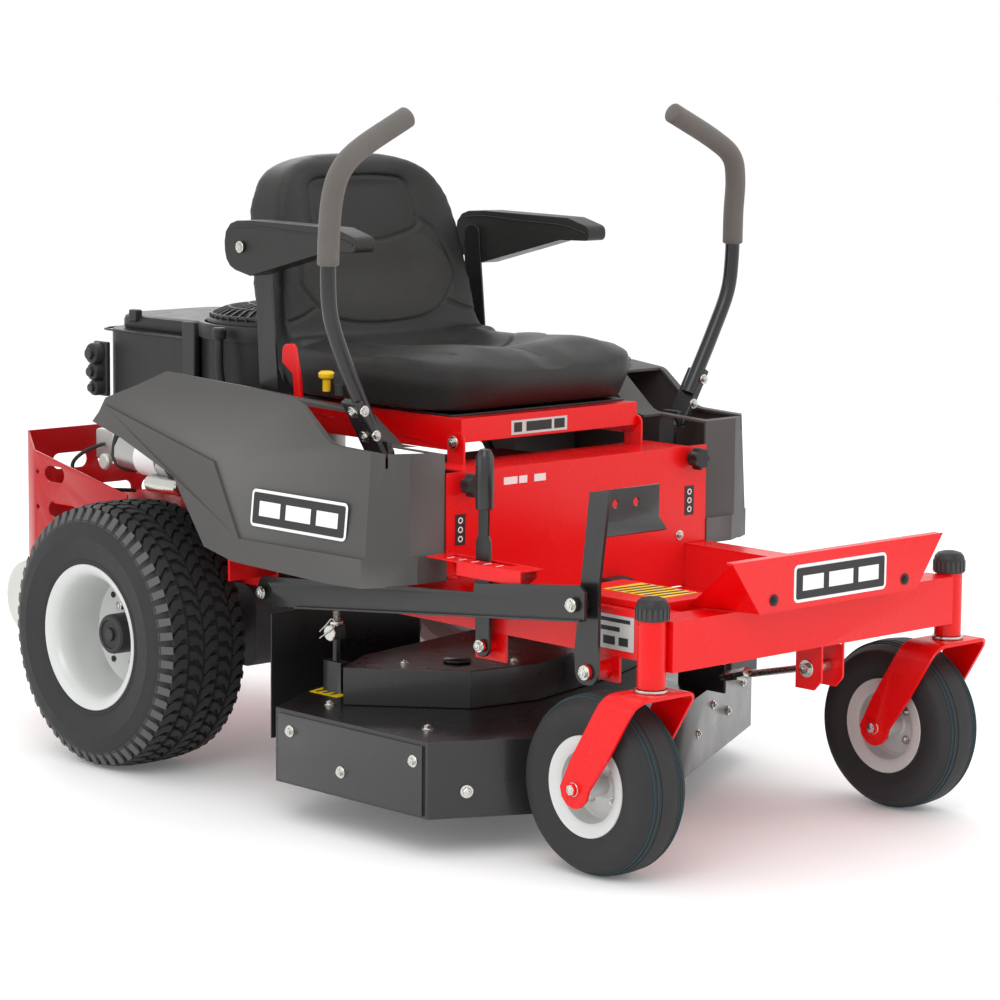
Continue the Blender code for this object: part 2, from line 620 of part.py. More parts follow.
# ---------------------------------------------------------------- steering levers and controls
def lap_lever(side, black, foam, steel):
    """Fore-and-aft lever base, the bar that swings outward on it, and the foam grip."""
    word = "right" if side < 0 else "left"
    base_pivot = point(side * 0.33, LAP_S, LAP_Z)
    swing = point(side * SWING[0], LAP_S, SWING[1])
    base = prism(rounded([(LAP_S - 0.018, 0.482, 0.017), (LAP_S + 0.018, 0.482, 0.017),
                          (LAP_S + 0.018, 0.604, 0.017), (LAP_S - 0.018, 0.604, 0.017)]),
                 "X", *sided(side, 0.322, 0.330))
    base = union(base, lathe([(0, 0.302), (0.010, 0.302), (0.010, 0.326), (0, 0.326)],
                             point(0, LAP_S, LAP_Z), (Vector((side, 0, 0)), Vector((0, 1, 0))), SMALL))
    node("lap_base_" + word, base, steel, base_pivot)

    path = [point(side * x, s, z) for x, s, z in
            ((0.368, 0.610, 0.640), (0.392, 0.608, 0.684), (0.425, 0.606, 0.745), (0.455, 0.602, 0.812),
             (0.463, 0.600, 0.870), (0.463, 0.598, 0.950), (0.460, 0.592, 1.010), (0.444, 0.588, 1.050),
             (0.400, 0.592, 1.081), (0.304, 0.596, 1.126))]
    path = smooth_path(path, 2)
    bar = tube(path, 0.0125, 10)
    lean = math.radians(31)
    along = Vector((math.sin(lean), math.cos(lean)))
    across = Vector((math.cos(lean), -math.sin(lean)))
    foot = Vector((SWING[0] + 0.0025, SWING[1] - 0.004))
    corners = []
    for up, out in ((0.008, 0), (0.008, 0.012), (0.118, 0.012), (0.118, 0)):
        corners.append(foot + along * up + across * out)
    plate = prism([(side * c.x, c.y) for c in corners], "Y", LAP_S - 0.022, LAP_S + 0.020)
    hinge_foot = box(sided(side, 0.3305, 0.3405), (LAP_S - 0.020, LAP_S + 0.020), (SWING[1] - 0.001, 0.612))
    node("lap_bar_" + word, union(bar, plate, hinge_foot), black, swing)
    tip = (path[-1] - path[-2]).normalized()
    grip = tube(path[8:-1] + [path[-1] + tip * 0.003], 0.0175, 10)
    core = tube([path[7]] + path[8:-1] + [path[-1] + tip * 0.0008], 0.0138, 10)
    node("lap_grip_" + word, cut(grip, core), foam, swing)


def height_lever(black):
    """Flat lever with a moulded grip, working in the gate."""
    s, z = LEVER
    outline = rounded([(s - 0.016, z - 0.018, 0.015), (s + 0.016, z - 0.018, 0.015), (s + 0.016, 0.470),
                       (s + 0.011, 0.480), (s + 0.011, 0.600), (s - 0.011, 0.600), (s - 0.011, 0.480),
                       (s - 0.016, 0.470)])
    strap = prism(outline, "X", -LEVER_X[1], -LEVER_X[0])
    middle = -(LEVER_X[0] + LEVER_X[1]) / 2
    grip = lathe([(0, 0.522), (0.0145, 0.522), (0.0150, 0.560), (0.0145, 0.604), (0.009, 0.616), (0, 0.618)],
                 point(middle, s - 0.001, 0), "Z", 16)
    bore = rod(point(-0.30, s, z), point(-0.33, s, z), 0.0065 + GAP)
    return node("height_lever", cut(union(strap, grip), bore), black, point(middle, s, z))


def lift_pedal(black):
    """Tall foot lever with an angled toe plate; it works the deck lift."""
    s, z = PEDAL
    strap = rounded([(s - 0.022, z - 0.020, 0.019), (s + 0.024, z - 0.020, 0.019), (s + 0.028, 0.330),
                     (0.158, 0.435), (0.141, 0.578), (0.100, 0.583), (0.119, 0.437)])
    pieces = [prism(strap, "X", -PEDAL_X[1], -PEDAL_X[0])]
    toe = box((-PEDAL_X[0] - 0.003, -0.190), (0.1375, 0.1415), (0.528, 0.578))
    lip = prism([(0.1375, 0.528), (0.1415, 0.528), (0.1240, 0.508), (0.1200, 0.511)], "X",
                -PEDAL_X[0] - 0.003, -0.190)
    holes = [rod(point(x, 0.13, 0.555), point(x, 0.15, 0.555), 0.007, 14) for x in (-0.285, -0.240)]
    out = (Vector((-1, 0, 0)), Vector((0, 1, 0)))
    pin = [(0, PEDAL_X[0] + 0.003), (0.012, PEDAL_X[0] + 0.003), (0.012, BAR_X[0] - GAP), (0.007, BAR_X[0] - GAP),
           (0.007, BAR_X[1] + GAP), (0.0115, BAR_X[1] + GAP), (0.0115, BAR_X[1] + 0.006), (0, BAR_X[1] + 0.006)]
    pieces += [toe, lip, lathe(pin, point(0, *BAR_FRONT), out, SMALL)]
    pedal = cut(union(*pieces), rod(point(-0.32, s, z), point(-0.35, s, z), 0.0085 + GAP), *holes)
    return node("lift_pedal", pedal, black, point(-PEDAL_X[0], s, z))


def lift_link(black):
    """Deep flat link bar from the pedal to the rear lift arm."""
    outline = rounded([(0.129, 0.384, 0.006), (0.481, 0.349), (0.862, 0.311, 0.02), (0.906, 0.318, 0.018),
                       (0.900, 0.358, 0.018), (0.374, 0.398), (0.372, 0.412), (0.140, 0.438), (0.129, 0.428)])
    plate = prism(outline, "X", -BAR_X[1], -BAR_X[0])
    lip = prism([(0.132, 0.3835), (0.480, 0.3485), (0.800, 0.3165), (0.800, 0.3195), (0.480, 0.3515),
                 (0.132, 0.3865)], "X", -BAR_X[1] - 0.008, -BAR_X[0])
    bore = rod(point(-0.34, *BAR_FRONT), point(-0.37, *BAR_FRONT), 0.007 + GAP)
    head = lathe([(0, BAR_X[1] - 0.001), (0.017, BAR_X[1] - 0.001), (0.017, BAR_X[1] + 0.002),
                  (0.009, BAR_X[1] + 0.002), (0.009, BAR_X[1] + 0.009), (0, BAR_X[1] + 0.009)],
                 point(0, *BAR_REAR), (Vector((-1, 0, 0)), Vector((0, 1, 0))), SMALL)
    return node("lift_link", cut(union(plate, lip, head), bore), black, point(-BAR_X[0], *BAR_FRONT))


def lift_shaft(black):
    """Cross-shaft with a bell-crank plate on each end; the plates carry the deck."""
    s, z = SHAFT
    end = ARM_PLATE_X[1]
    pieces = [rod(point(-end, s, z), point(end, s, z), 0.011)]
    for side in (-1, 1):
        plate = rounded([(s + 0.022, z + 0.018, 0.016), (s - 0.022, z + 0.018, 0.016),
                         (ROD_S - 0.016, 0.362, 0.008), (ROD_S - 0.016, 0.333, 0.012),
                         (ROD_S + 0.018, 0.333), (BAR_REAR[0] - 0.045, 0.385),
                         (BAR_REAR[0] - 0.016, BAR_REAR[1] - 0.015, 0.012),
                         (BAR_REAR[0] + 0.016, BAR_REAR[1] - 0.015, 0.012)])
        pieces.append(prism(plate, "X", *sided(side, *ARM_PLATE_X)))
    pin = rod(point(-end + 0.002, *BAR_REAR), point(-BAR_X[0] + GAP, *BAR_REAR), 0.008)
    return node("lift_shaft", union(*pieces, pin), black, point(0, s, z))


def front_link(zinc):
    """Front deck rod with its turnbuckle and the cross trunnion between the beam's ears."""
    start = point(*FRONT_PIVOT)
    end = point(*FRONT_ROD_END)
    along = (end - start).normalized()
    trunnion = lathe([(0, -0.0225), (0.010, -0.0225), (0.010, 0.0225), (0, 0.0225)], start, "X", SMALL)
    nut = start + (end - start) * 0.80
    return node("front_link", union(rod(start, end, 0.006, 14), trunnion,
                                    rod(nut, nut + along * 0.040, 0.010, 6)), zinc, start)


def hand_controls(red, yellow, black):
    """Throttle lever, choke knob and ignition key on the right fender."""
    pivot = point(-0.300, 0.863, 0.640)
    handle = rounded([(0.855, 0.632, 0.006), (0.872, 0.632, 0.006), (0.878, 0.694), (0.905, 0.712, 0.006),
                      (0.904, 0.742, 0.012), (0.876, 0.746, 0.010), (0.868, 0.715), (0.862, 0.690)])
    node("throttle_lever", prism(handle, "X", -0.3045, -0.2955), red, pivot)
    choke = lathe([(0, 0.672), (0.0065, 0.672), (0.0065, 0.6925), (0.013, 0.6950), (0.014, 0.7025),
                   (0.010, 0.7060), (0, 0.7060)], point(-0.300, 0.795, 0), "Z", 16)
    node("choke_knob", choke, yellow, point(-0.300, 0.795, 0.69))
    barrel = lathe([(0, 0.668), (0.0078, 0.668), (0.0078, 0.686), (0, 0.686)], point(-0.300, 0.762, 0), "Z", 16)
    bow = prism(rounded([(0.750, 0.684), (0.774, 0.684), (0.776, 0.708, 0.009), (0.748, 0.708, 0.009)]),
                "X", -0.3025, -0.2975)
    node("ignition_key", union(barrel, bow), black, point(-0.300, 0.762, 0.69))


def panel_knob(side, plastic):
    """Seven-lobed hand knob on the riser panel."""
    word = "right" if side < 0 else "left"
    centre = point(side * 0.262, PANEL_S - GAP, 0.546)
    outline = []
    for k in range(42):
        angle = 2 * math.pi * k / 42
        reach = 0.0175 + 0.0022 * math.cos(7 * angle)
        outline.append((centre.x + reach * math.cos(angle), centre.z + reach * math.sin(angle)))
    star = prism(outline, "Y", PANEL_S - 0.028, PANEL_S - 0.010)
    neck = lathe([(0, -0.012), (0.009, -0.012), (0.011, 0), (0, 0)], centre, "Y", 16)
    return node("panel_knob_" + word, union(star, neck), plastic, centre)


# ---------------------------------------------------------------- seat
def seat(red, black, vinyl):
    """Tilting platform, seat pan with armrest posts, cushion, back and folding armrests."""
    hinge = point(0, *HINGE)
    edge = PLATFORM_X
    top = 0.6395
    tray = [box((-edge, edge), (0.572, 0.960), (top - SHEET, top)),
            box((-edge, edge), (0.572, 0.575), (0.600, top))]
    for side in (-1, 1):
        flange = [(0.572, 0.600), (0.581, 0.588), (0.596, 0.588), (0.960, 0.618), (0.960, top), (0.572, top)]
        tray.append(prism(flange, "X", *sided(side, edge - SHEET, edge)))
        out = (Vector((side, 0, 0)), Vector((0, 1, 0)))
        head = edge + GAP + 0.004 + GAP
        bolt = [(0, edge - 0.002), (0.0050, edge - 0.002), (0.0050, head), (0.0090, head),
                (0.0090, head + 0.006), (0, head + 0.006)]
        tray.append(lathe(bolt, point(0, *HINGE), out, 16))
    node("seat_platform", union(*tray), red, hinge)

    under = top + GAP
    pan = [box((-0.200, 0.200), (0.600, 0.975), (under, under + 0.003)),
           box((-0.2430, 0.2430), (0.9905, 1.0295), (under, under + 0.004)),
           box((-0.150, 0.150), (0.970, 1.000), (under, under + 0.003))]
    for side in (-1, 1):
        post = rounded([(0.985, under), (1.035, under), (ARM_PIVOT[0] + 0.020, ARM_PIVOT[1] - 0.02),
                        (ARM_PIVOT[0] + 0.018, ARM_PIVOT[1] + 0.020, 0.016),
                        (ARM_PIVOT[0] - 0.018, ARM_PIVOT[1] + 0.020, 0.016),
                        (ARM_PIVOT[0] - 0.022, ARM_PIVOT[1] - 0.03)])
        pan.append(prism(post, "X", *sided(side, 0.2410, 0.2445)))
        out = (Vector((side, 0, 0)), Vector((0, 1, 0)))
        pan.append(lathe([(0, 0.242), (0.006, 0.242), (0.006, ARM_X[1] + GAP), (0.0095, ARM_X[1] + GAP),
                          (0.0095, ARM_X[1] + 0.0045), (0, ARM_X[1] + 0.0045)], point(0, *ARM_PIVOT), out, 16))
    node("seat_pan", union(*pan), black, hinge)

    low = under + 0.005
    plan = rounded([(-0.238, 0.553, 0.11), (0.238, 0.553, 0.11), (0.225, 1.005, 0.05), (-0.225, 1.005, 0.05)], 5)
    slope = prism([(0.945, 0.760), (1.10, 0.760), (1.10, 0.640), (1.030, 0.640)], "X", -0.30, 0.30)
    cushion = cut(prism(plan, "Z", low, 0.738), slope)
    bevel(cushion, 0.022)
    node("seat_cushion", cushion, vinyl, hinge)
    profile = rounded([(1.012, 0.703), (0.978, 0.7425), (1.020, 0.900), (1.075, 1.035, 0.02),
                       (1.130, 1.040, 0.025), (1.112, 0.920), (1.052, 0.703, 0.02)], 3)
    back = prism(profile, "X", -0.226, 0.226)
    shoulders = []
    for side in (-1, 1):
        edge_line = ((0.30, 0.70), (0.226, 0.70), (0.214, 0.84), (0.205, 0.93), (0.175, 0.995), (0.120, 1.035),
                     (0.060, 1.050), (0.060, 1.080), (0.30, 1.080))
        shoulders.append(prism([(side * x, z) for x, z in edge_line], "Y", 0.90, 1.20))
    back = cut(back, *shoulders)
    node("seat_back", back, vinyl, hinge)

    for side, word in ((-1, "right"), (1, "left")):
        s, z = ARM_PIVOT
        outline = rounded([(s + 0.045, z - 0.035, 0.035), (s + 0.050, z + 0.042, 0.035),
                           (s - 0.030, z + 0.046), (0.790, 0.940), (0.737, 0.926, 0.012),
                           (0.737, 0.902, 0.010), (0.810, 0.900), (s - 0.020, z - 0.048)], 3)
        arm = prism(outline, "X", *sided(side, ARM_X[0], ARM_X[1]))
        bore = rod(point(side * 0.24, s, z), point(side * 0.30, s, z), 0.006 + GAP)
        node("armrest_" + word, cut(arm, bore), vinyl, point(side * 0.266, s, z))


def bevel(item, width):
    """Round all sharp edges of a solid."""
    step = item.modifiers.new("step", "BEVEL")
    step.width = width
    step.segments = 2
    step.limit_method = "ANGLE"
    step.angle_limit = math.radians(50)
    bpy.context.view_layer.update()
    graph = bpy.context.evaluated_depsgraph_get()
    mesh = bpy.data.meshes.new_from_object(item.evaluated_get(graph))
    item.modifiers.clear()
    item.data = mesh


# ---------------------------------------------------------------- mower deck
DECK_OUTLINE = [(-0.487, 0.335), (-0.350, 0.263), (-0.325, 0.250), (-0.024, 0.250), (0.036, 0.283),
                (0.417, 0.492), (0.470, 0.580), (0.470, 0.720), (0.420, 0.820), (0.330, 0.890),
                (0.200, 0.915), (0.060, 0.880), (-0.060, 0.815), (-0.330, 0.785), (-0.487, 0.700)]
COVER_OUTLINE = [(-0.397, 0.639), (-0.262, 0.481), (-0.129, 0.461), (0.100, 0.520), (0.285, 0.600),
                 (0.300, 0.760), (0.120, 0.780), (-0.300, 0.700)]


def deck_shell(black):
    """Pressed shell, open below, with hanger posts for the lift arms and the front rod."""
    low, high = DECK_Z
    shell = prism(DECK_OUTLINE, "Z", low, high)
    pieces = [shell]
    for side in (-1, 1):
        foot = box(sided(side, 0.322, 0.342), (ROD_S - 0.022, ROD_S + 0.022), (high - 0.001, 0.235))
        hanger = rod(point(side * ROD_X, ROD_S, 0.20), point(side * ROD_X, ROD_S, 0.338), 0.006, 12)
        block = box(sided(side, ROD_X - 0.011, ROD_X + 0.011), (ROD_S - 0.010, ROD_S + 0.010), (0.272, 0.294))
        pieces += [foot, hanger, block]
    x, s, z = FRONT_ROD_END
    pieces.append(prism([(x + 0.010, s + 0.005), (x + 0.015, s + 0.005), (x + 0.015, s + 0.110),
                         (x + 0.010, s + 0.110)], "Z", high - 0.001, z + 0.018))
    body = union(*pieces)
    hollow = prism(inset(DECK_OUTLINE, SHEET), "Z", low - 0.02, high - SHEET)
    body = cut(body, hollow)
    housings = []
    bores = []
    for x, s, _ in BLADES.values():
        profile = [(0, 0.118), (0.028, 0.118), (0.032, high - 0.020), (0.055, high - 0.012),
                   (0.055, high - 0.001), (0, high - 0.001)]
        housings.append(lathe(profile, point(x, s, 0), "Z", 20))
        bores.append(rod(point(x, s, 0.10), point(x, s, high + 0.01), 0.0125 + GAP, 20))
    plate = box((-0.4905, -0.4865), (0.345, 0.690), (0.066, 0.176))
    return node("deck_shell", cut(union(body, plate, *housings), *bores), black)


def belt_outline(radius):
    """Stadium round both spindle pulleys."""
    (ax, a_s, _), (bx, b_s, _) = BLADES["right"], BLADES["left"]
    heading = math.atan2(b_s - a_s, bx - ax)
    out = []
    for (x, s), start in (((ax, a_s), heading + math.pi / 2), ((bx, b_s), heading - math.pi / 2)):
        for k in range(17):
            angle = start + math.pi * k / 16
            out.append((x + radius * math.cos(angle), s + radius * math.sin(angle)))
    return out


def blade_belt(rubber):
    """Drive belt round the two spindle pulleys."""
    loop = prism(belt_outline(PULLEY_R + 0.0065), "Z", *BELT_Z)
    inner = prism(belt_outline(PULLEY_R + GAP), "Z", BELT_Z[0] - 0.01, BELT_Z[1] + 0.01)
    return node("blade_belt", cut(loop, inner), rubber)


def belt_cover(black):
    """Open-bottomed cover over both spindle pulleys and the belt."""
    low, high = DECK_Z[1] + GAP, 0.245
    shell = prism(COVER_OUTLINE, "Z", low, high)
    hollow = prism(inset(COVER_OUTLINE, 0.0025), "Z", low - 0.01, high - 0.0025)
    return node("belt_cover", cut(shell, hollow), black)


def blade(word, iron):
    """Cutting blade, shaft and pulley turning together in the spindle housing."""
    x, s, reach = BLADES[word]
    centre = point(x, s, 0)
    shaft = lathe([(0, 0.078), (0.017, 0.078), (0.017, 0.092), (0.0125, 0.092), (0.0125, 0.194),
                   (PULLEY_R, 0.194), (PULLEY_R, 0.216), (0.012, 0.218), (0.012, 0.224), (0, 0.224)], centre, "Z", 20)
    half, wide = reach, 0.028
    plan = [(-half, -wide), (-half + 0.05, -wide), (-0.05, -wide), (0.05, -wide), (half - 0.01, -wide + 0.006),
            (half, -wide + 0.016), (half, wide), (half - 0.05, wide), (0.05, wide), (-0.05, wide),
            (-half + 0.01, wide - 0.006), (-half, wide - 0.016)]
    bar = prism([(x + a, s + b) for a, b in plan], "Z", 0.082, 0.0865)
    lift = [box((x - half, x - half + 0.075), (s + 0.006, s + 0.0275), (0.084, 0.098)),
            box((x + half - 0.075, x + half), (s - 0.0275, s - 0.006), (0.084, 0.098))]
    for piece in lift:
        piece_cut = 0.0035
        low = min(v.co.y for v in piece.data.vertices)
        outer = piece.data.vertices[0].co.x < x
        for vertex in piece.data.vertices:
            near = (vertex.co.y - low > 0.01) != outer
            if near and vertex.co.z > 0.09:
                vertex.co.z = 0.0865 + piece_cut - 0.003
    return node("blade_" + word, union(shaft, bar, *lift), iron, centre)


def rear_shield(black):
    """Flat guard plate hung from the right rail between the deck and the drive tyre."""
    station = (0.855, 0.858)
    plate = box((-0.368, -0.035), station, (0.090, 0.300))
    hanger = box((-0.298, -0.252), station, (0.295, RAIL_Z[0] - GAP))
    return node("rear_shield", union(plate, hanger), black)


# ---------------------------------------------------------------- engine and rear end
def engine(black, alloy, iron, pale):
    """Vertical-shaft engine: crankcase, blower housing, covers, cooling screen and exhaust."""
    x, s = ENGINE
    centre = point(x, s, 0)
    base = 0.3985
    block = lathe([(0, base), (0.110, base), (0.110, 0.430), (0.095, 0.440), (0.095, 0.5795),
                   (0, 0.5795)], centre, "Z", 32)
    head = box((-0.055, 0.065), (s + 0.080, 1.635), (0.430, 0.560))
    bore = rod(point(x, s, 0.38), point(x, s, 0.60), 0.022, 24)
    node("engine_block", cut(union(block, head), bore), alloy)
    low, high = 0.5800, 0.7420
    wall = 0.003
    blower = lathe([(0.022, low), (BLOWER_R - 0.012, low), (BLOWER_R, low + 0.012), (BLOWER_R, high - 0.022),
                    (BLOWER_R + 0.003, high - 0.022), (BLOWER_R + 0.003, high), (BLOWER_R - 0.006, high),
                    (BLOWER_R - 0.006, low + 0.016), (0.022, low + wall)], centre, "Z")
    node("blower_housing", blower, black)
    cover = prism(rounded([(-0.168, 1.335), (0.125, 1.335), (0.125, 1.560, 0.05), (0.080, 1.600, 0.04),
                           (-0.120, 1.600, 0.045), (-0.168, 1.560, 0.045)], 3), "Z", low, 0.715)
    lid = prism(rounded([(-0.150, 1.335), (0.115, 1.335), (0.115, 1.545, 0.05), (0.070, 1.580, 0.04),
                         (-0.110, 1.580, 0.045), (-0.150, 1.550, 0.045)], 3), "Z", 0.710, 0.742)
    bevel(lid, 0.010)
    keep_out = rod(point(x, s, 0.5), point(x, s, 0.8), BLOWER_R + 0.004, 40)
    node("engine_cover", cut(union(cover, lid), keep_out), black)
    dome = lathe([(0, high - 0.030), (0.030, high - 0.028), (0.120, high - 0.012), (BLOWER_R - 0.010, high),
                  (BLOWER_R - 0.012, high + 0.006), (0.120, high + 0.024), (0.070, high + 0.033),
                  (0, high + 0.034)], centre, "Z")
    shaft = rod(point(x, s, 0.300), point(x, s, high - 0.028), 0.0125, 16)
    node("cooling_screen", union(dome, shaft), black, centre)
    pulley = lathe([(0.013, 0.322), (0.060, 0.322), (0.060, 0.332), (0.050, 0.337), (0.060, 0.342),
                    (0.060, 0.372), (0.013, 0.372)], centre, "Z", 24)
    node("clutch_pulley", pulley, iron, centre)
    starter = rod(point(-0.190, 1.330, 0.490), point(-0.190, 1.480, 0.500), 0.034)
    lug = box((-0.190, -0.0825), (1.290, 1.345), (0.470, 0.510))
    node("starter_motor", union(starter, lug), alloy)
    s, z, radius = MUFFLER
    can = lathe([(0, -0.215), (radius - 0.020, -0.215), (radius - 0.005, -0.207), (radius, -0.190),
                 (radius, 0.190), (radius - 0.005, 0.207), (radius - 0.020, 0.215), (0, 0.215)],
                point(0, s, z), "X", 24)
    pipe = tube(smooth_path([point(0.040, s - 0.03, z + 0.04), point(0.040, 1.700, 0.285),
                             point(0.040, 1.690, 0.380), point(0.030, 1.685, 0.470),
                             point(0.020, 1.670, 0.510), point(0.012, 1.642, 0.513)], 2), 0.016, 10)
    node("muffler", union(can, pipe), pale)


def stores(black, plastic):
    """Battery under the seat and the fuel tank with its cap in the left fender."""
    battery = box((-0.095, 0.085), (0.640, 0.780), (0.3995, 0.550))
    node("battery", battery, black)
    tank = prism(rounded([(0.945, 0.4505, 0.02), (1.010, 0.530, 0.02), (1.130, 0.575, 0.02),
                          (1.130, 0.640, 0.02), (0.945, 0.662, 0.02)], 3), "X", 0.270, 0.425)
    neck = rod(point(0.345, 0.985, 0.64), point(0.345, 0.985, 0.694), 0.0185, 24)
    node("fuel_tank", union(tank, neck), plastic)
    cap = lathe([(0, 0.6945), (0.034, 0.6945), (0.034, 0.714), (0.030, 0.718), (0, 0.718)],
                point(0.345, 0.985, 0), "Z", 24)
    node("fuel_cap", cap, black, point(0.345, 0.985, 0.70))


def main():
    clear_scene()
    red = material("red_paint", (226, 30, 34), 0.35)
    grey = material("fender_plastic", (82, 81, 80), 0.55)
    black = material("black_paint", (34, 34, 35), 0.40)
    vinyl = material("vinyl", (46, 45, 45), 0.50)
    rubber = material("rubber", (52, 52, 53), 0.75)
    foam = material("foam", (92, 90, 87), 0.90)
    silver = material("rim_paint", (182, 184, 184), 0.35, 0.6)
    zinc = material("zinc", (190, 190, 186), 0.30, 1.0)
    alloy = material("aluminium", (165, 165, 165), 0.45, 0.9)
    iron = material("cast_iron", (96, 98, 100), 0.55, 0.5)
    yellow = material("yellow_plastic", (240, 190, 20), 0.45)
    pale = material("pale_steel", (206, 206, 200), 0.45, 0.4)

    main_frame(red)
    foot_pan(red)
    riser_panel(red)
    bumper_plate(red)
    height_gate(red)
    rear_guard(red)
    fender("fender_right", -1, grey, right_openings)
    fender("fender_left", 1, grey, left_openings)
    cup_holder(grey)
    for side, word in ((-1, "right"), (1, "left")):
        caster_fork("caster_fork_" + word, side, red)
        caster_wheel(side, rubber, silver)
        drive_wheel(side, rubber, silver)
        transaxle(side, iron)
        lap_lever(side, black, foam, iron)
        panel_knob(side, black)
    height_lever(black)
    lift_pedal(black)
    lift_link(black)
    lift_shaft(black)
    front_link(zinc)
    hand_controls(red, yellow, black)
    seat(red, black, vinyl)
    deck_shell(black)
    blade_belt(rubber)
    belt_cover(black)
    rear_shield(black)
    for word in BLADES:
        blade(word, iron)
    engine(black, alloy, iron, pale)
    stores(black, grey)
    bpy.context.view_layer.update()


main()
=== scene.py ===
import json
import math
import bpy
import bmesh
from mathutils import Matrix, Vector
from mathutils.bvhtree import BVHTree


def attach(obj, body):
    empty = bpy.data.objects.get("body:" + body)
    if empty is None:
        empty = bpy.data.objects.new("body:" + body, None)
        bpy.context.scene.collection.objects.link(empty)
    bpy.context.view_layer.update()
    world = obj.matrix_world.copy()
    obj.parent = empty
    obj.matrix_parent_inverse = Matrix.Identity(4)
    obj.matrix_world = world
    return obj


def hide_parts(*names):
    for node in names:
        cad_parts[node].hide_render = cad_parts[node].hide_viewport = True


# Everything is in metres. Stations run back from the caster pivots; the front of the machine is -Y.

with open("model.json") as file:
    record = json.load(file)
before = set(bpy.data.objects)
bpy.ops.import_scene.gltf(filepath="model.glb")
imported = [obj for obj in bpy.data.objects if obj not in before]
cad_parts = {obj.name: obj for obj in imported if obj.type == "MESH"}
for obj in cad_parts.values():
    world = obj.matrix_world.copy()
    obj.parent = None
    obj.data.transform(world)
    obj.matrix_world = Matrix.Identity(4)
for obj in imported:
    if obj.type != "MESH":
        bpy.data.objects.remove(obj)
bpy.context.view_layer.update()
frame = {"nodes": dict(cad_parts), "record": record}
RECORD = frame["record"]
BODY = {n: b for b, names in RECORD["behaviour"]["bodies"].items() for n in names}
SLOT = {part["node"]: part["material_slot"] for part in RECORD["subparts"]}
STATION = -0.890            # station zero (the caster pivots) in the part's own Y
DRIVE_CENTRE = (0.405, 1.195, 0.2285)       # x, station and height of each wheel's middle
CASTER_CENTRE = (0.344, 0.095, 0.1397)
HANGER_X, HANGER_STATION = 0.333, 0.731     # threaded rod that hangs the deck
SIDES = ((-1, "right"), (1, "left"))        # the operator's right is -X
# Axis and side vector of turned pieces: pointing out of either side of the machine, and upward.
OUT = {-1: (Vector((-1, 0, 0)), Vector((0, 1, 0))), 1: (Vector((1, 0, 0)), Vector((0, 1, 0)))}
UPWARD = (Vector((0, 0, 1)), Vector((1, 0, 0)))


def point(x, s, z):
    return Vector((x, s + STATION, z))


def points(*spots):
    return [point(*spot) for spot in spots]


def flat(z, *spots):
    """Points on a level plane, from their x and station."""
    return [point(x, s, z) for x, s in spots]


def mirrored(half):
    """A symmetric outline from the half that ends on the centre line."""
    return half + [(-a, b) for a, b in half[-2::-1]]


# ---------------------------------------------------------------- camera, light and floor
def camera():
    az, el, roll = (math.radians(a) for a in (-43.3669, 7.9943, 0.4997))
    look = Vector((-math.sin(az) * math.cos(el), math.cos(az) * math.cos(el), -math.sin(el)))
    right = look.cross(Vector((0, 0, 1))).normalized()
    up = right.cross(look)
    right_r = math.cos(roll) * right + math.sin(roll) * up
    up_r = math.cos(roll) * up - math.sin(roll) * right
    data = bpy.data.cameras.new("camera")
    data.lens = 122.27
    data.sensor_width = 36
    data.clip_end = 60
    item = bpy.data.objects.new("camera", data)
    turn = Matrix((right_r, up_r, -look)).transposed().to_4x4()
    turn.translation = Vector((-3.9089, -3.4437 + STATION, 1.2751))
    item.matrix_world = turn
    bpy.context.scene.collection.objects.link(item)
    bpy.context.scene.camera = item


def lamp(name, where, target, size, power):
    data = bpy.data.lights.new(name, "AREA")
    data.shape = "RECTANGLE"
    data.size, data.size_y = size
    data.energy = power
    item = bpy.data.objects.new(name, data)
    item.location = where
    item.rotation_euler = (Vector(target) - Vector(where)).to_track_quat("-Z", "Y").to_euler()
    bpy.context.scene.collection.objects.link(item)


def studio():
    bpy.context.scene.view_settings.view_transform = "Standard"
    world = bpy.data.worlds.new("world")
    world.use_nodes = True
    world.node_tree.nodes["Background"].inputs[0].default_value = (1, 1, 1, 1)
    world.node_tree.nodes["Background"].inputs[1].default_value = 1.0
    bpy.context.scene.world = world
    lamp("key", (-3.2, -2.6, 3.6), (0, 0, 0.4), (2.6, 2.6), 62)
    lamp("top", (0.3, 0.2, 4.2), (0, 0, 0.3), (3.6, 3.6), 42)
    lamp("front", (2.6, -3.8, 2.2), (0, -0.3, 0.4), (2.2, 2.2), 20)
    lamp("side", (-4.2, 1.2, 1.5), (-0.3, 0.2, 0.4), (2.6, 1.6), 16)
    lamp("rim", (1.8, 3.8, 2.6), (0, 0.2, 0.7), (2.4, 1.6), 30)
    bm = bmesh.new()
    bmesh.ops.create_grid(bm, x_segments=2, y_segments=2, size=30)
    floor = link("floor", bm)
    tone = bpy.data.materials.new("floor")
    tone.use_nodes = True
    shader = tone.node_tree.nodes["Principled BSDF"]
    shader.inputs["Base Color"].default_value = (0.92, 0.92, 0.92, 1)
    shader.inputs["Roughness"].default_value = 0.60
    shader.inputs["Emission Color"].default_value = (1, 1, 1, 1)
    shader.inputs["Emission Strength"].default_value = 0.10
    floor.data.materials.append(tone)


# ---------------------------------------------------------------- materials
def linear(value):
    value /= 255
    return value / 12.92 if value <= 0.04045 else ((value + 0.055) / 1.055) ** 2.4


def shade(rgb, factor=1.0):
    return (*[min(1.0, linear(c) * factor) for c in rgb], 1)


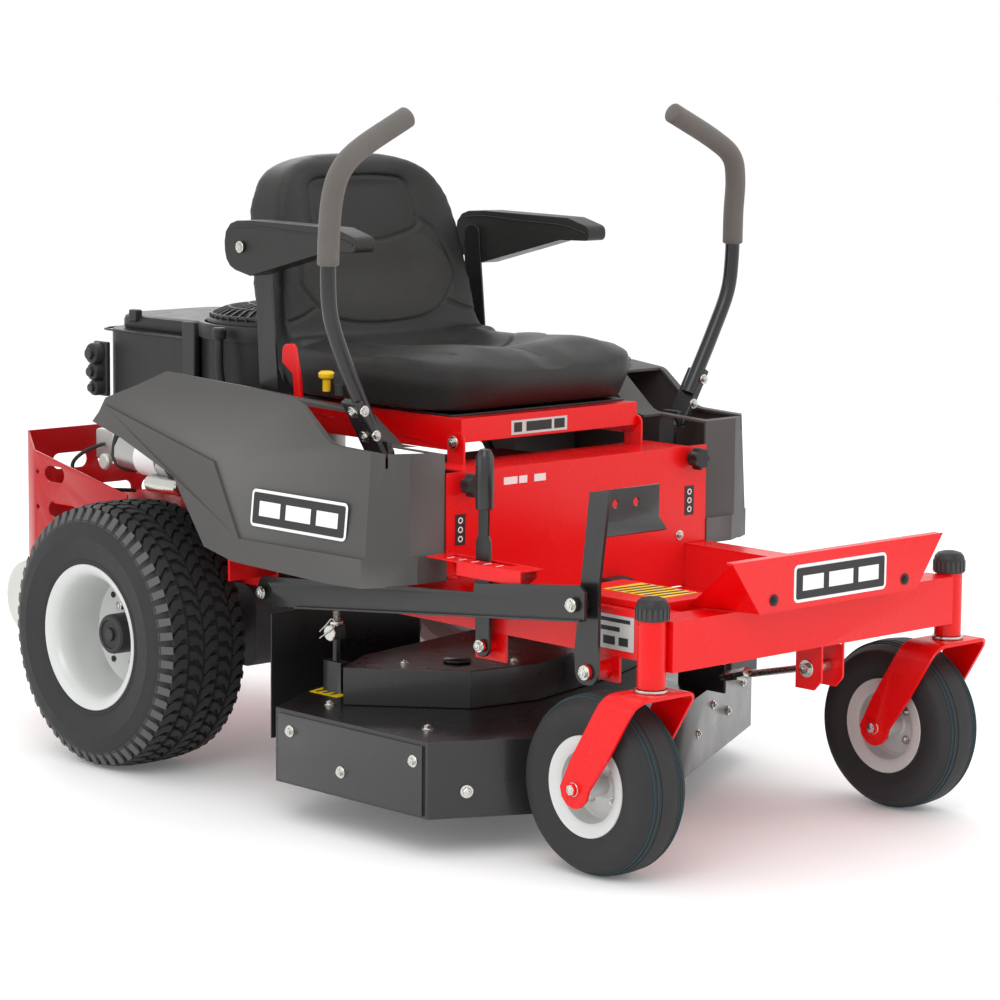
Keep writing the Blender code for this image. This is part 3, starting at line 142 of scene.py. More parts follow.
def finish(name, rgb, rough, metal=0.0, coat=0.0, fine=(900, 0.05), broad=(6, 0.10), wear=0.25,
           spread=0.10, sheen=0.0, stretch=(1, 1, 1), voronoi=False):
    """Procedural finish: colour mottling, roughness variation, fine bump and paler worn edges."""
    made = bpy.data.materials.new(name)
    made.use_nodes = True
    tree = made.node_tree
    shader = tree.nodes["Principled BSDF"]
    shader.inputs["Metallic"].default_value = metal
    shader.inputs["Coat Weight"].default_value = coat
    shader.inputs["Coat Roughness"].default_value = 0.12
    shader.inputs["Sheen Weight"].default_value = sheen
    shader.inputs["Specular IOR Level"].default_value = 0.40 if metal or coat else 0.30

    def add(kind, **values):
        item = tree.nodes.new(kind)
        for key, value in values.items():
            item.inputs[key].default_value = value
        return item

    join = tree.links.new
    spot = tree.nodes.new("ShaderNodeTexCoord")
    mapping = add("ShaderNodeMapping", Scale=stretch)
    join(spot.outputs["Object"], mapping.inputs["Vector"])
    cloud = add("ShaderNodeTexNoise", Scale=broad[0], Detail=4.0)
    join(mapping.outputs[0], cloud.inputs["Vector"])
    tint = tree.nodes.new("ShaderNodeMix")
    tint.data_type = "RGBA"
    tint.inputs["A"].default_value = shade(rgb, 1 - broad[1])
    tint.inputs["B"].default_value = shade(rgb, 1 + broad[1])
    join(cloud.outputs["Fac"], tint.inputs["Factor"])
    edge = tree.nodes.new("ShaderNodeNewGeometry")
    ramp = tree.nodes.new("ShaderNodeValToRGB")
    ramp.color_ramp.elements[0].position = 0.53
    ramp.color_ramp.elements[1].position = 0.64
    ramp.color_ramp.elements[1].color = (wear, wear, wear, 1)
    join(edge.outputs["Pointiness"], ramp.inputs["Fac"])
    worn = tree.nodes.new("ShaderNodeMix")
    worn.data_type = "RGBA"
    join(ramp.outputs["Color"], worn.inputs["Factor"])
    join(tint.outputs["Result"], worn.inputs["A"])
    worn.inputs["B"].default_value = shade([min(255, c * 0.6 + 105) for c in rgb])
    join(worn.outputs["Result"], shader.inputs["Base Color"])
    patches = add("ShaderNodeTexNoise", Scale=broad[0] * 4, Detail=5.0)
    join(mapping.outputs[0], patches.inputs["Vector"])
    level = add("ShaderNodeMapRange")
    level.inputs["To Min"].default_value = max(0.02, rough - spread)
    level.inputs["To Max"].default_value = min(1, rough + spread)
    join(patches.outputs["Fac"], level.inputs["Value"])
    join(level.outputs["Result"], shader.inputs["Roughness"])
    if voronoi:
        grain = add("ShaderNodeTexVoronoi", Scale=fine[0])
        height = grain.outputs["Distance"]
    else:
        grain = add("ShaderNodeTexNoise", Scale=fine[0], Detail=3.0)
        height = grain.outputs["Fac"]
    join(mapping.outputs[0], grain.inputs["Vector"])
    bump = add("ShaderNodeBump", Strength=fine[1], Distance=0.001)
    join(height, bump.inputs["Height"])
    join(bump.outputs["Normal"], shader.inputs["Normal"])
    return made


FINISHES = {
    "red_paint": dict(rgb=(222, 4, 8), rough=0.27, fine=(260, 0.06), broad=(3, 0.04), wear=0.10),
    # The rear guard's red is the red paint darkened: painted shade on a guard that has the same red paint.
    "guard_red_painted_shade": dict(rgb=(176, 6, 14), rough=0.32, coat=0.1, fine=(260, 0.06), broad=(4, 0.08), wear=0.10),
    "black_paint": dict(rgb=(24, 24, 25), rough=0.30, coat=0.25, fine=(420, 0.10), wear=0.14),
    "rim_paint": dict(rgb=(202, 204, 202), rough=0.36, metal=0.14, fine=(500, 0.06), wear=0.20),
    "fender_plastic": dict(rgb=(74, 73, 71), rough=0.50, fine=(1300, 0.22), broad=(5, 0.05), wear=0.18),
    "black_plastic": dict(rgb=(37, 37, 38), rough=0.42, fine=(1200, 0.22), broad=(7, 0.08), wear=0.16),
    "yellow_plastic": dict(rgb=(240, 190, 20), rough=0.40, fine=(900, 0.10)),
    "vinyl": dict(rgb=(36, 35, 34), rough=0.38, fine=(820, 0.38), broad=(9, 0.10), wear=0.10, voronoi=True),
    "vinyl_grain": dict(rgb=(46, 45, 43), rough=0.50, fine=(560, 0.75), broad=(9, 0.10), wear=0.0,
                        voronoi=True),
    "tyre_rubber": dict(rgb=(42, 42, 43), rough=0.62, fine=(700, 0.22), broad=(10, 0.14), wear=0.32),
    "belt_rubber": dict(rgb=(40, 40, 41), rough=0.70, fine=(900, 0.30)),
    "foam": dict(rgb=(96, 92, 88), rough=0.88, fine=(1500, 0.85), broad=(30, 0.10), wear=0.05, sheen=0.2),
    "zinc": dict(rgb=(198, 198, 192), rough=0.26, metal=1.0, fine=(600, 0.06), broad=(30, 0.10)),
    "aluminium": dict(rgb=(172, 172, 170), rough=0.44, metal=0.9, fine=(380, 0.35), broad=(14, 0.12)),
    "cast_iron": dict(rgb=(92, 94, 96), rough=0.56, metal=0.5, fine=(420, 0.55), broad=(16, 0.16)),
    "pale_steel": dict(rgb=(206, 206, 200), rough=0.42, metal=0.35, fine=(300, 0.10), broad=(12, 0.08)),
    "white_ink": dict(rgb=(232, 232, 232), rough=0.45, fine=(900, 0.03), wear=0.0),
    # This dark tone serves printed marks and bolt heads, and also the painted shade of the rim holes.
    "dark_ink_and_hole_shade": dict(rgb=(42, 42, 43), rough=0.42, fine=(900, 0.03), wear=0.0),
    "silver_label": dict(rgb=(196, 196, 194), rough=0.36, metal=0.3, fine=(900, 0.03), wear=0.0),
    "yellow_label": dict(rgb=(246, 204, 22), rough=0.42, fine=(900, 0.03), wear=0.0),
    "blue_rubber": dict(rgb=(38, 72, 78), rough=0.62, fine=(700, 0.10), wear=0.0),
}
M = {name: finish(name, **values) for name, values in FINISHES.items()}


# ---------------------------------------------------------------- mesh helpers
def link(name, bm, smooth=38):
    mesh = bpy.data.meshes.new(name)
    bmesh.ops.recalc_face_normals(bm, faces=bm.faces)
    bm.to_mesh(mesh)
    bm.free()
    item = bpy.data.objects.new(name, mesh)
    bpy.context.scene.collection.objects.link(item)
    mesh.shade_smooth()
    mesh.set_sharp_from_angle(angle=math.radians(smooth))
    return item


def modify(item, kind, **values):
    step = item.modifiers.new(kind.lower(), kind)
    for key, value in values.items():
        setattr(step, key, value)
    return step


def apply(item):
    bpy.context.view_layer.update()
    graph = bpy.context.evaluated_depsgraph_get()
    mesh = bpy.data.meshes.new_from_object(item.evaluated_get(graph))
    item.modifiers.clear()
    item.data = mesh


def soften(item, width, segments=2, angle=35):
    if width:
        modify(item, "BEVEL", width=width, segments=segments, limit_method="ANGLE",
               angle_limit=math.radians(angle), harden_normals=False, use_clamp_overlap=True)


def place(item, body="chassis", tone="black_plastic", *replaced, slot=None):
    """Give a piece its finish and the body it rides on."""
    item.data.materials.clear()
    item.data.materials.append(M[tone])
    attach(item, body)
    if replaced:
        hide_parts(*replaced)
    return item


def copy_of(name):
    bm = bmesh.new()
    bm.from_mesh(frame["nodes"][name].data)
    bmesh.ops.remove_doubles(bm, verts=bm.verts, dist=1e-5)
    bmesh.ops.dissolve_limit(bm, angle_limit=math.radians(0.5), verts=bm.verts, edges=bm.edges)
    return bm


def dress(name, width, tone=None, segments=2, angle=35):
    """A bevelled copy of a CAD piece with its procedural finish."""
    item = link("look_" + name, copy_of(name), 34)
    soften(item, width, segments, angle)
    return place(item, BODY[name], tone or SLOT[name], name, slot=SLOT[name])


def dress_all(segments=2, **widths):
    for name, width in widths.items():
        dress(name, width, segments=segments)


def box(name, x, s, z, body="chassis", tone="black_plastic", width=0.001, segments=2):
    bm = bmesh.new()
    bmesh.ops.create_cube(bm, size=1)
    for v in bm.verts:
        v.co = point(x[0] + (v.co.x + 0.5) * (x[1] - x[0]), s[0] + (v.co.y + 0.5) * (s[1] - s[0]),
                     z[0] + (v.co.z + 0.5) * (z[1] - z[0]))
    item = link(name, bm)
    soften(item, width, segments)
    return place(item, body, tone)


def turned(axis, side, angle):
    """Unit vector across the axis, turned from the side vector by an angle."""
    return side * math.cos(angle) + axis.cross(side) * math.sin(angle)


def skin(bm, rings):
    """Side faces from each ring of points to the next."""
    for first, second in zip(rings, rings[1:]):
        for k in range(len(first)):
            j = (k + 1) % len(first)
            bm.faces.new((first[k], first[j], second[j], second[k]))


def close_ends(bm, rings):
    bm.faces.new(rings[0][::-1])
    bm.faces.new(rings[-1])


def band(inner, outer, low, high):
    """Square profile of a plain ring."""
    return [(inner, low), (outer, low), (outer, high), (inner, high)]


def lathe(name, profile, centre, axes, count, smooth=38):
    """Turned body; profile is (radius, along) pairs, axes gives the axis and a side vector."""
    axis, side = axes
    bm = bmesh.new()
    rings = []
    for radius, along in profile:
        if radius < 1e-6:
            rings.append([bm.verts.new(centre + axis * along)])
            continue
        rings.append([bm.verts.new(centre + axis * along + turned(axis, side, 2 * math.pi * k / count) * radius)
                      for k in range(count)])
    pairs = list(zip(rings, rings[1:]))
    if len(rings[0]) > 1 and len(rings[-1]) > 1:
        pairs.append((rings[-1], rings[0]))
    for first, second in pairs:
        for k in range(count):
            j = (k + 1) % count
            if len(first) == 1 and len(second) == 1:
                break
            if len(first) == 1:
                bm.faces.new((first[0], second[j], second[k]))
            elif len(second) == 1:
                bm.faces.new((first[k], first[j], second[0]))
            else:
                bm.faces.new((first[k], first[j], second[j], second[k]))
    return link(name, bm, smooth)


def bolt(name, where, axis, body, radius=0.008, height=0.005, washer=1.5, tone="zinc"):
    """Hex head on a washer, its axis pointing out of the face it clamps."""
    axis = Vector(axis).normalized()
    side = axis.orthogonal().normalized()
    bm = bmesh.new()

    def drum(count, reach, low, high, top):
        rings = []
        for along, scale in ((low, 1), (high, 1), (high + 0.0006, top)):
            rings.append([bm.verts.new(where + axis * along
                                       + turned(axis, side, 2 * math.pi * k / count) * reach * scale)
                          for k in range(count)])
        skin(bm, rings)
        close_ends(bm, rings)

    drum(24, radius * washer, -0.0008, 0.0012, 0.94)
    drum(6, radius, 0.0010, height, 0.86)
    drum(16, radius * 0.5, height, height + 0.0016, 0.7)
    return place(link(name, bm, 30), body, tone)


def smooth_path(knots, steps):
    pts = [Vector(k) for k in knots]
    ends = [2 * pts[0] - pts[1]] + pts + [2 * pts[-1] - pts[-2]]
    out = []
    for i in range(1, len(ends) - 2):
        a, b, c, d = ends[i - 1:i + 3]
        for k in range(steps):
            t = k / steps
            out.append(0.5 * (2 * b + (c - a) * t + (2 * a - 5 * b + 4 * c - d) * t * t
                              + (3 * b - 3 * c + d - a) * t ** 3))
    return out + [pts[-1]]


def tube(name, path, radius, count=24, cap=0.0):
    """Round bar along a path; cap rounds its ends."""
    bm = bmesh.new()
    rings = []
    across = None
    stations = [(p, radius) for p in path]
    if cap:
        first, last = (path[0] - path[1]).normalized(), (path[-1] - path[-2]).normalized()
        stations = ([(path[0] + first * cap * 0.9, radius * 0.5), (path[0] + first * cap * 0.5, radius * 0.87)]
                    + stations + [(path[-1] + last * cap * 0.5, radius * 0.87),
                                  (path[-1] + last * cap * 0.9, radius * 0.5)])
    for i, (here, reach) in enumerate(stations):
        along = (stations[min(i + 1, len(stations) - 1)][0] - stations[max(i - 1, 0)][0]).normalized()
        across = along.orthogonal() if across is None else across - along * across.dot(along)
        across.normalize()
        rings.append([bm.verts.new(here + turned(along, across, 2 * math.pi * k / count) * reach)
                      for k in range(count)])
    skin(bm, rings)
    close_ends(bm, rings)
    return link(name, bm, 50)


def decal(name, corners, lift, body, tone, thickness=0.0004):
    """Thin label on a face, from its corners in order."""
    bm = bmesh.new()
    lift = Vector(lift)
    low = [bm.verts.new(Vector(c)) for c in corners]
    high = [bm.verts.new(Vector(c) + lift * thickness) for c in corners]
    close_ends(bm, (low, high))
    skin(bm, (low, high))
    return place(link(name, bm), body, tone)


def upright(s, x, z):
    """Corners of a rectangle facing forward at station s, from its low and high x and z."""
    return [point(x[0], s, z[1]), point(x[1], s, z[1]), point(x[1], s, z[0]), point(x[0], s, z[0])]


def rounded_loop(width, height, radius, steps=5, lean=0.0):
    out = []
    for cx, cz, start in ((1, 1, 0), (-1, 1, 90), (-1, -1, 180), (1, -1, 270)):
        for k in range(steps + 1):
            a = math.radians(start + 90 * k / steps)
            x = cx * (width / 2 - radius) + radius * math.cos(a)
            z = cz * (height / 2 - radius) + radius * math.sin(a)
            out.append((x + lean * z, z))
    return out


def badge(name, centre, right, up, size, body, lean=0.0):
    """Generic badge: dark plate inside a pale outline, with three plain bars."""
    right, up = Vector(right).normalized(), Vector(up).normalized()
    out = right.cross(up)
    width, height = size
    for part, grow, lift, tone in (("rim", 0.0, 0.0004, "white_ink"), ("field", -0.010, 0.0009, "dark_ink_and_hole_shade")):
        loop = rounded_loop(width + grow, height + grow, 0.009 + grow / 2, lean=lean)
        corners = [centre + right * a + up * b for a, b in loop]
        decal(f"{name}_{part}", corners, out, body, tone, lift)
    for i, (mid, span) in enumerate(((-0.30, 0.22), (0.0, 0.26), (0.30, 0.22))):
        bar = [(mid * width + dx * span * width / 2 + lean * dz * height * 0.2, dz * height * 0.2)
               for dx, dz in ((-1, -1), (1, -1), (1, 1), (-1, 1))]
        decal(f"{name}_bar_{i}", [centre + right * a + up * b for a, b in bar], out, body, "white_ink", 0.0013)


# ---------------------------------------------------------------- wheels
def drive_wheel(side, word):
    x, s, z = DRIVE_CENTRE
    centre = point(side * x, s, z)
    axes = OUT[side]
    axis, across = axes
    body = "drive_wheel_" + word
    outer = [(0.1125, -0.0770), (0.1190, -0.0830), (0.1290, -0.0865), (0.1320, -0.0885), (0.1350, -0.0870),
             (0.1500, -0.0915), (0.1700, -0.0945), (0.1730, -0.0955), (0.1760, -0.0945), (0.1900, -0.0935),
             (0.2020, -0.0890), (0.2100, -0.0820), (0.2155, -0.0700), (0.2190, -0.0500), (0.2210, -0.0250)]
    profile = outer + [(0.2215, 0.0)] + [(r, -a) for r, a in reversed(outer)]
    tyre = lathe("tyre_" + word, profile, centre, axes, 120, 60)
    bm = bmesh.new()
    bm.from_mesh(tyre.data)
    pitches = 56
    row_middles, row_width = (-0.062, -0.031, 0.0, 0.031, 0.062), 0.0265

    def lug(corners, low, high):
        """Raised block; corners are (turn in pitches, along), low and high give radius from along."""
        rings = []
        for level, shrink in ((low, 0.0), (high, 0.10)):
            mid_t = sum(c[0] for c in corners) / len(corners)
            mid_a = sum(c[1] for c in corners) / len(corners)
            ring = []
            for turn, along in corners:
                turn += (mid_t - turn) * shrink
                along_s = along + (mid_a - along) * shrink
                a = 2 * math.pi * turn / pitches
                ring.append(bm.verts.new(centre + axis * along_s + turned(axis, across, a) * level(along_s)))
            rings.append(ring)
        skin(bm, rings)
        close_ends(bm, rings)

    def crown(along):
        return 0.2285 - 0.0085 * (abs(along) / 0.082) ** 3

    def root(along):
        return crown(along) - 0.010

    def shoulder(along):
        return 0.2235 - (abs(along) - 0.0765) * 1.75

    def shoulder_root(along):
        return 0.2100 - (abs(along) - 0.0765) * 1.2

    for step in range(pitches):
        for i, middle in enumerate(row_middles):
            skew = 0.30 if i % 2 else -0.30
            t = step + 0.5 * (i % 2)
            low_a, high_a = middle - row_width / 2, middle + row_width / 2
            corners = [(t - 0.36 - skew, low_a), (t - 0.05, middle - 0.003), (t - 0.36 + skew, high_a),
                       (t + 0.36 + skew, high_a), (t + 0.62, middle + 0.003), (t + 0.36 - skew, low_a)]
            lug(corners, root, crown)
        for end in (-1, 1):
            t = step + (0.25 if end > 0 else 0.75)
            corners = [(t - 0.28, end * 0.0765), (t + 0.28, end * 0.0765), (t + 0.34, end * 0.0905),
                       (t - 0.34, end * 0.0905)]
            lug(corners, shoulder_root, shoulder)
    bm.to_mesh(tyre.data)
    bm.free()
    tyre.data.shade_smooth()
    tyre.data.set_sharp_from_angle(angle=math.radians(35))
    place(tyre, body, "tyre_rubber", "drive_tyre_" + word)
    face = [(0.0345, -0.020), (0.040, -0.0165), (0.062, -0.0160), (0.074, -0.0100), (0.084, -0.0080),
            (0.0925, -0.0040), (0.0965, 0.0060), (0.0985, 0.0450), (0.1030, 0.0700), (0.1085, 0.0790),
            (0.1140, 0.0835), (0.1200, 0.0865), (0.1252, 0.0878), (0.1262, 0.0862), (0.1240, 0.0845),
            (0.1110, 0.0775), (0.1090, 0.0700), (0.1060, 0.0000), (0.1090, -0.0700), (0.1110, -0.0780),
            (0.1250, -0.0850), (0.1245, -0.0880), (0.1150, -0.0860), (0.1020, -0.0700), (0.0960, -0.0300),
            (0.0900, -0.0240), (0.0345, -0.0240)]
    place(lathe("rim_" + word, face, centre, axes, 72, 30), body, "rim_paint", "drive_rim_" + word)
    hub = [(0, -0.118), (0.0125, -0.118), (0.0125, -0.060), (0.030, -0.058), (0.034, -0.024), (0.0345, -0.012),
           (0.0345, 0.036), (0.0335, 0.040), (0.0300, 0.0430), (0.0250, 0.0430), (0.0240, 0.0410), (0.0120, 0.0410),
           (0.0110, 0.0450), (0, 0.0455)]
    place(lathe("hub_" + word, hub, centre, axes, 40, 30), body, "black_plastic")
    for k in range(5):
        a = math.radians(72 * k + 20)
        where = centre + axis * -0.0130 + turned(axis, across, a) * 0.052
        bolt(f"lug_nut_{word}_{k}", where, axis, body, 0.0085, 0.012, 1.25)
    # Four dark discs on the rim face stand in for its holes: painted shade for the dark seen through them.
    for k in range(4):
        a = math.radians(90 * k + 45)
        spot = centre + axis * -0.0072 + turned(axis, across, a) * 0.080
        hole_shade = lathe(f"rim_hole_{word}_{k}", [(0, -0.001), (0.0055, -0.001), (0.0055, 0.0003), (0, 0.0003)],
                     spot, axes, 16)
        place(hole_shade, body, "dark_ink_and_hole_shade")
    a = math.radians(118)
    where = centre + turned(axis, across, a) * 0.088
    stem = tube("valve_" + word, [where, where + axis * 0.018, where + axis * 0.034], 0.0042, 14, 0.003)
    place(stem, body, "black_plastic")


def caster_wheel(side, word):
    x, s, z = CASTER_CENTRE
    centre = point(side * x, s, z)
    axes = OUT[side]
    axis, across = axes
    body = "caster_wheel_" + word
    outer = [(0.0695, -0.0355), (0.0745, -0.0395), (0.0800, -0.0410), (0.0825, -0.0425), (0.0850, -0.0425),
             (0.0950, -0.0480), (0.1050, -0.0498), (0.1150, -0.0490), (0.1230, -0.0460), (0.1260, -0.0440),
             (0.1268, -0.0420), (0.1315, -0.0370), (0.1355, -0.0280), (0.1378, -0.0210), (0.1380, -0.0190),
             (0.1370, -0.0180), (0.1370, -0.0170), (0.1388, -0.0160), (0.1395, -0.0080)]
    profile = outer + [(0.1397, 0.0)] + [(r, -a) for r, a in reversed(outer)]
    place(lathe("caster_tyre_look_" + word, profile, centre, axes, 96, 50), body, "tyre_rubber", "caster_tyre_" + word)
    for k, (radius, along) in enumerate(((0.1374, 0.0243), (0.1352, 0.0300))):
        for end in (-1, 1):
            ring = band(radius - 0.0006, radius + 0.0007, end * along - 0.0005, end * along + 0.0005)
            item = lathe(f"mould_line_{word}_{k}_{'a' if end < 0 else 'b'}", ring, centre, axes, 96)
            place(item, body, "blue_rubber")
    lip = [(0.0570, 0.0360), (0.0620, 0.0395), (0.0700, 0.0405), (0.0775, 0.0425), (0.0785, 0.0410),
           (0.0770, 0.0395), (0.0690, 0.0360), (0.0670, 0.0300)]
    face = [(0.0083, -0.0460), (0.0165, -0.0460), (0.0175, -0.0440), (0.0180, -0.0140), (0.0220, -0.0110),
            (0.0480, -0.0110), (0.0530, -0.0160), *[(r, -a) for r, a in lip], (0.0655, 0.0), *lip[::-1],
            (0.0530, 0.0090), (0.0480, 0.0040), (0.0220, 0.0040), (0.0180, 0.0070), (0.0175, 0.0440),
            (0.0165, 0.0460), (0.0083, 0.0460)]
    place(lathe("caster_rim_look_" + word, face, centre, axes, 64, 30), body, "rim_paint", "caster_rim_" + word)
    for end, level in ((1, 0.0050), (-1, -0.0120)):
        for k in range(4):
            a = math.radians(90 * k + 45)
            where = centre + axis * level + turned(axis, across, a) * 0.034
            bolt(f"rim_bolt_{word}_{'o' if end > 0 else 'i'}{k}", where, axis * end, body, 0.0052, 0.005, 1.4)
    fork = "caster_" + word
    for end in (-1, 1):
        bolt(f"axle_nut_{word}_{'o' if end > 0 else 'i'}", centre + axis * end * 0.0665, axis * end, fork,
             0.0095, 0.007, 1.15)


# ---------------------------------------------------------------- seat
def smoothstep(low, high, value):
    t = min(1.0, max(0.0, (value - low) / (high - low)))
    return t * t * (3 - 2 * t)


def near_line(path, a, b):
    """Distance from a point to a polyline in a plane."""
    best = 9.0
    here = Vector((a, b))
    for first, second in zip(path, path[1:]):
        p, q = Vector(first), Vector(second)
        t = max(0.0, min(1.0, (here - p).dot(q - p) / max((q - p).length_squared, 1e-12)))
        best = min(best, (here - (p + (q - p) * t)).length)
    return best


def curve_2d(knots, steps=6):
    return [(p.x, p.y) for p in smooth_path([Vector((a, b, 0)) for a, b in knots], steps)]


def extrude(name, outline, axis, low, high):
    bm = bmesh.new()
    rings = []
    for level in (low, high):
        spots = {"X": lambda a, b: point(level, a, b), "Y": lambda a, b: point(a, level, b),
                 "Z": lambda a, b: point(a, b, level)}[axis]
        rings.append([bm.verts.new(spots(a, b)) for a, b in outline])
    skin(bm, rings)
    close_ends(bm, rings)
    return link(name, bm)


def meet(first, second, operation="INTERSECT"):
    modify(first, "BOOLEAN", object=second, operation=operation, solver="EXACT")
    apply(first)
    bpy.data.objects.remove(second, do_unlink=True)
    return first


def nudge(item, rule):
    """Move every vertex by rule(x, station, z, normal), read from the shape before any has moved."""
    bm = bmesh.new()
    bm.from_mesh(item.data)
    bm.normal_update()
    moves = [rule(v.co.x, v.co.y - STATION, v.co.z, v.normal) for v in bm.verts]
    for v, move in zip(bm.verts, moves):
        v.co += move
    bm.to_mesh(item.data)
    bm.free()


def bucket():
    """One upholstered skin over cushion and back: bolsters, dished middle and pressed seams."""
    half = [(0.222, 0.690), (0.222, 0.760), (0.214, 0.850), (0.205, 0.920), (0.191, 0.975), (0.157, 1.020),
            (0.095, 1.042), (0.0, 1.048)]
    face = curve_2d(mirrored(half))
    side_view = curve_2d([(1.000, 0.690), (0.985, 0.740), (1.000, 0.810), (1.020, 0.900), (1.046, 0.990),
                          (1.072, 1.034), (1.102, 1.048), (1.128, 1.034), (1.130, 0.985), (1.114, 0.900),
                          (1.084, 0.790), (1.060, 0.715), (1.040, 0.690)])
    back = meet(extrude("back_a", face, "Y", 0.90, 1.20), extrude("back_b", side_view, "X", -0.30, 0.30))
    around = mirrored([(0.0, 0.556), (0.120, 0.559), (0.195, 0.585), (0.232, 0.650), (0.240, 0.740), (0.238, 0.860),
                       (0.230, 0.960), (0.190, 1.035), (0.0, 1.050)])
    plan = curve_2d(around[:-1] + [(-0.001, 0.556)], 5)
    profile = curve_2d([(0.590, 0.6465), (0.566, 0.660), (0.5545, 0.690), (0.561, 0.720), (0.600, 0.740),
                        (0.700, 0.745), (0.850, 0.741), (0.960, 0.742), (1.040, 0.740), (1.060, 0.715), (1.050, 0.690),
                        (1.020, 0.664), (0.960, 0.6475)])
    cushion = meet(extrude("cushion_a", plan, "Z", 0.60, 0.80), extrude("cushion_b", profile, "X", -0.30, 0.30))
    bm = bmesh.new()
    for part in (back, cushion):
        bm.from_mesh(part.data)
        bpy.data.objects.remove(part, do_unlink=True)
    seat = link("seat_bucket", bm)
    modify(seat, "REMESH", mode="VOXEL", voxel_size=0.006)
    modify(seat, "SMOOTH", factor=0.5, iterations=16)
    apply(seat)
    for v in seat.data.vertices:
        rise = smoothstep(0.645, 0.700, v.co.z)
        s = v.co.y - STATION
        if v.co.z < 0.70 and s < 1.0:
            v.co.x *= 1 - 0.050 * (1 - rise)
            v.co.y += 0.012 * (1 - rise) * (1 - smoothstep(0.56, 0.80, s))
        if s < 0.95 and v.co.z > 0.69:
            far = abs(v.co.x) / 0.240
            v.co.z -= 0.011 * smoothstep(0.60, 1.0, far) * smoothstep(0.69, 0.735, v.co.z)

    def dish_move(x, s, z, normal):
        x = abs(x)
        front = smoothstep(0.25, 0.7, -normal.y) * smoothstep(0.76, 0.84, z)
        top = smoothstep(0.3, 0.8, normal.z) * (1 - smoothstep(0.90, 1.0, s)) * (1 if z > 0.70 else 0)
        dish = 1 - smoothstep(0.085, 0.165, x)
        move = Vector((0, 0, 0))
        move.y += 0.024 * front * dish * smoothstep(0.76, 0.86, z) * (1 - smoothstep(0.985, 1.035, z))
        rear = smoothstep(0.62, 0.80, s)
        front_lip = 1 - smoothstep(0.565, 0.680, s)
        move.z -= 0.007 * front_lip * smoothstep(0.69, 0.73, z)
        move.z -= 0.020 * top * dish * rear
        move.z -= 0.006 * top * (1 - smoothstep(0.0, 0.05, x)) * (1 - rear)
        move.z += 0.008 * top * math.exp(-((x - 0.125) / 0.05) ** 2) * (1 - rear) * smoothstep(0.57, 0.63, s)
        return move

    nudge(seat, dish_move)
    modify(seat, "SMOOTH", factor=0.5, iterations=3)
    modify(seat, "SUBSURF", levels=1, render_levels=1)
    apply(seat)
    upper = curve_2d([(-0.112, 0.915), (-0.120, 0.940), (-0.108, 0.995), (-0.060, 1.006), (0.0, 1.008),
                      (0.060, 1.006), (0.108, 0.995), (0.120, 0.940), (0.112, 0.915), (0.060, 0.900), (0.0, 0.896),
                      (-0.060, 0.900), (-0.112, 0.915)])
    lower = curve_2d(mirrored([(0.118, 0.935), (0.150, 0.905), (0.176, 0.845), (0.165, 0.812), (0.110, 0.768),
                               (0.0, 0.756)]))
    flank = curve_2d([(0.150, 0.790), (0.185, 0.775), (0.215, 0.768)])
    flank_m = [(-a, b) for a, b in flank]
    seat_mid = curve_2d(mirrored([(-0.150, 0.955), (-0.168, 0.860), (-0.120, 0.800), (0.0, 0.785)]))
    thigh = curve_2d([(0.0, 0.785), (0.0, 0.720), (0.0, 0.650), (0.0, 0.600)])
    side_l = curve_2d([(0.168, 0.860), (0.192, 0.790), (0.196, 0.700), (0.175, 0.620)])
    side_r = [(-a, b) for a, b in side_l]

    def seam_move(x, s, z, normal):
        depth = 0.0
        if normal.y < -0.2 and z > 0.745 and s > 0.94:
            for path in (upper, lower, flank, flank_m):
                depth = max(depth, math.exp(-(near_line(path, x, z) / 0.0032) ** 2))
        elif normal.z > 0.5 and z > 0.69 and s < 0.96:
            for path, weight in ((seat_mid, 1.0), (thigh, 0.6), (side_l, 0.7), (side_r, 0.7)):
                depth = max(depth, weight * math.exp(-(near_line(path, x, s) / 0.0036) ** 2))
        return normal * depth * -0.0034

    nudge(seat, seam_move)
    seat.data.shade_smooth()
    place(seat, "seat", "vinyl", "seat_cushion", "seat_back")
    seat.data.materials.append(M["vinyl_grain"])
    for face in seat.data.polygons:
        c = face.center
        x, s, z = abs(c.x), c.y - STATION, c.z
        inside = z > 0.762 + 0.25 * x * x * 4 and z < 0.905 and x < 0.115 + 0.055 * smoothstep(0.93, 0.84, z)
        if face.normal.y < -0.4 and s > 0.95 and inside:
            face.material_index = 1


def armrest(side, word):
    item = link("armrest_look_" + word, copy_of("armrest_" + word), 60)
    soften(item, 0.0150, 6, 30)
    place(item, "arm_" + word, "vinyl", "armrest_" + word)
    rail = ((0.745, 0.925), (0.800, 0.936), (0.900, 0.939), (1.000, 0.943), (1.050, 0.940))
    for end, x in (("o", 0.2885), ("i", 0.2450)):
        knots = [point(side * x, s, z - 0.010) for s, z in rail]
        crease = tube(f"arm_crease_{word}_{end}", smooth_path(knots, 5), 0.0013, 8)
        place(crease, "arm_" + word, "vinyl")
    bolt("arm_bolt_" + word, point(side * 0.2925, 1.030, 0.897), (side, 0, 0), "seat", 0.0068, 0.0045, 1.5)


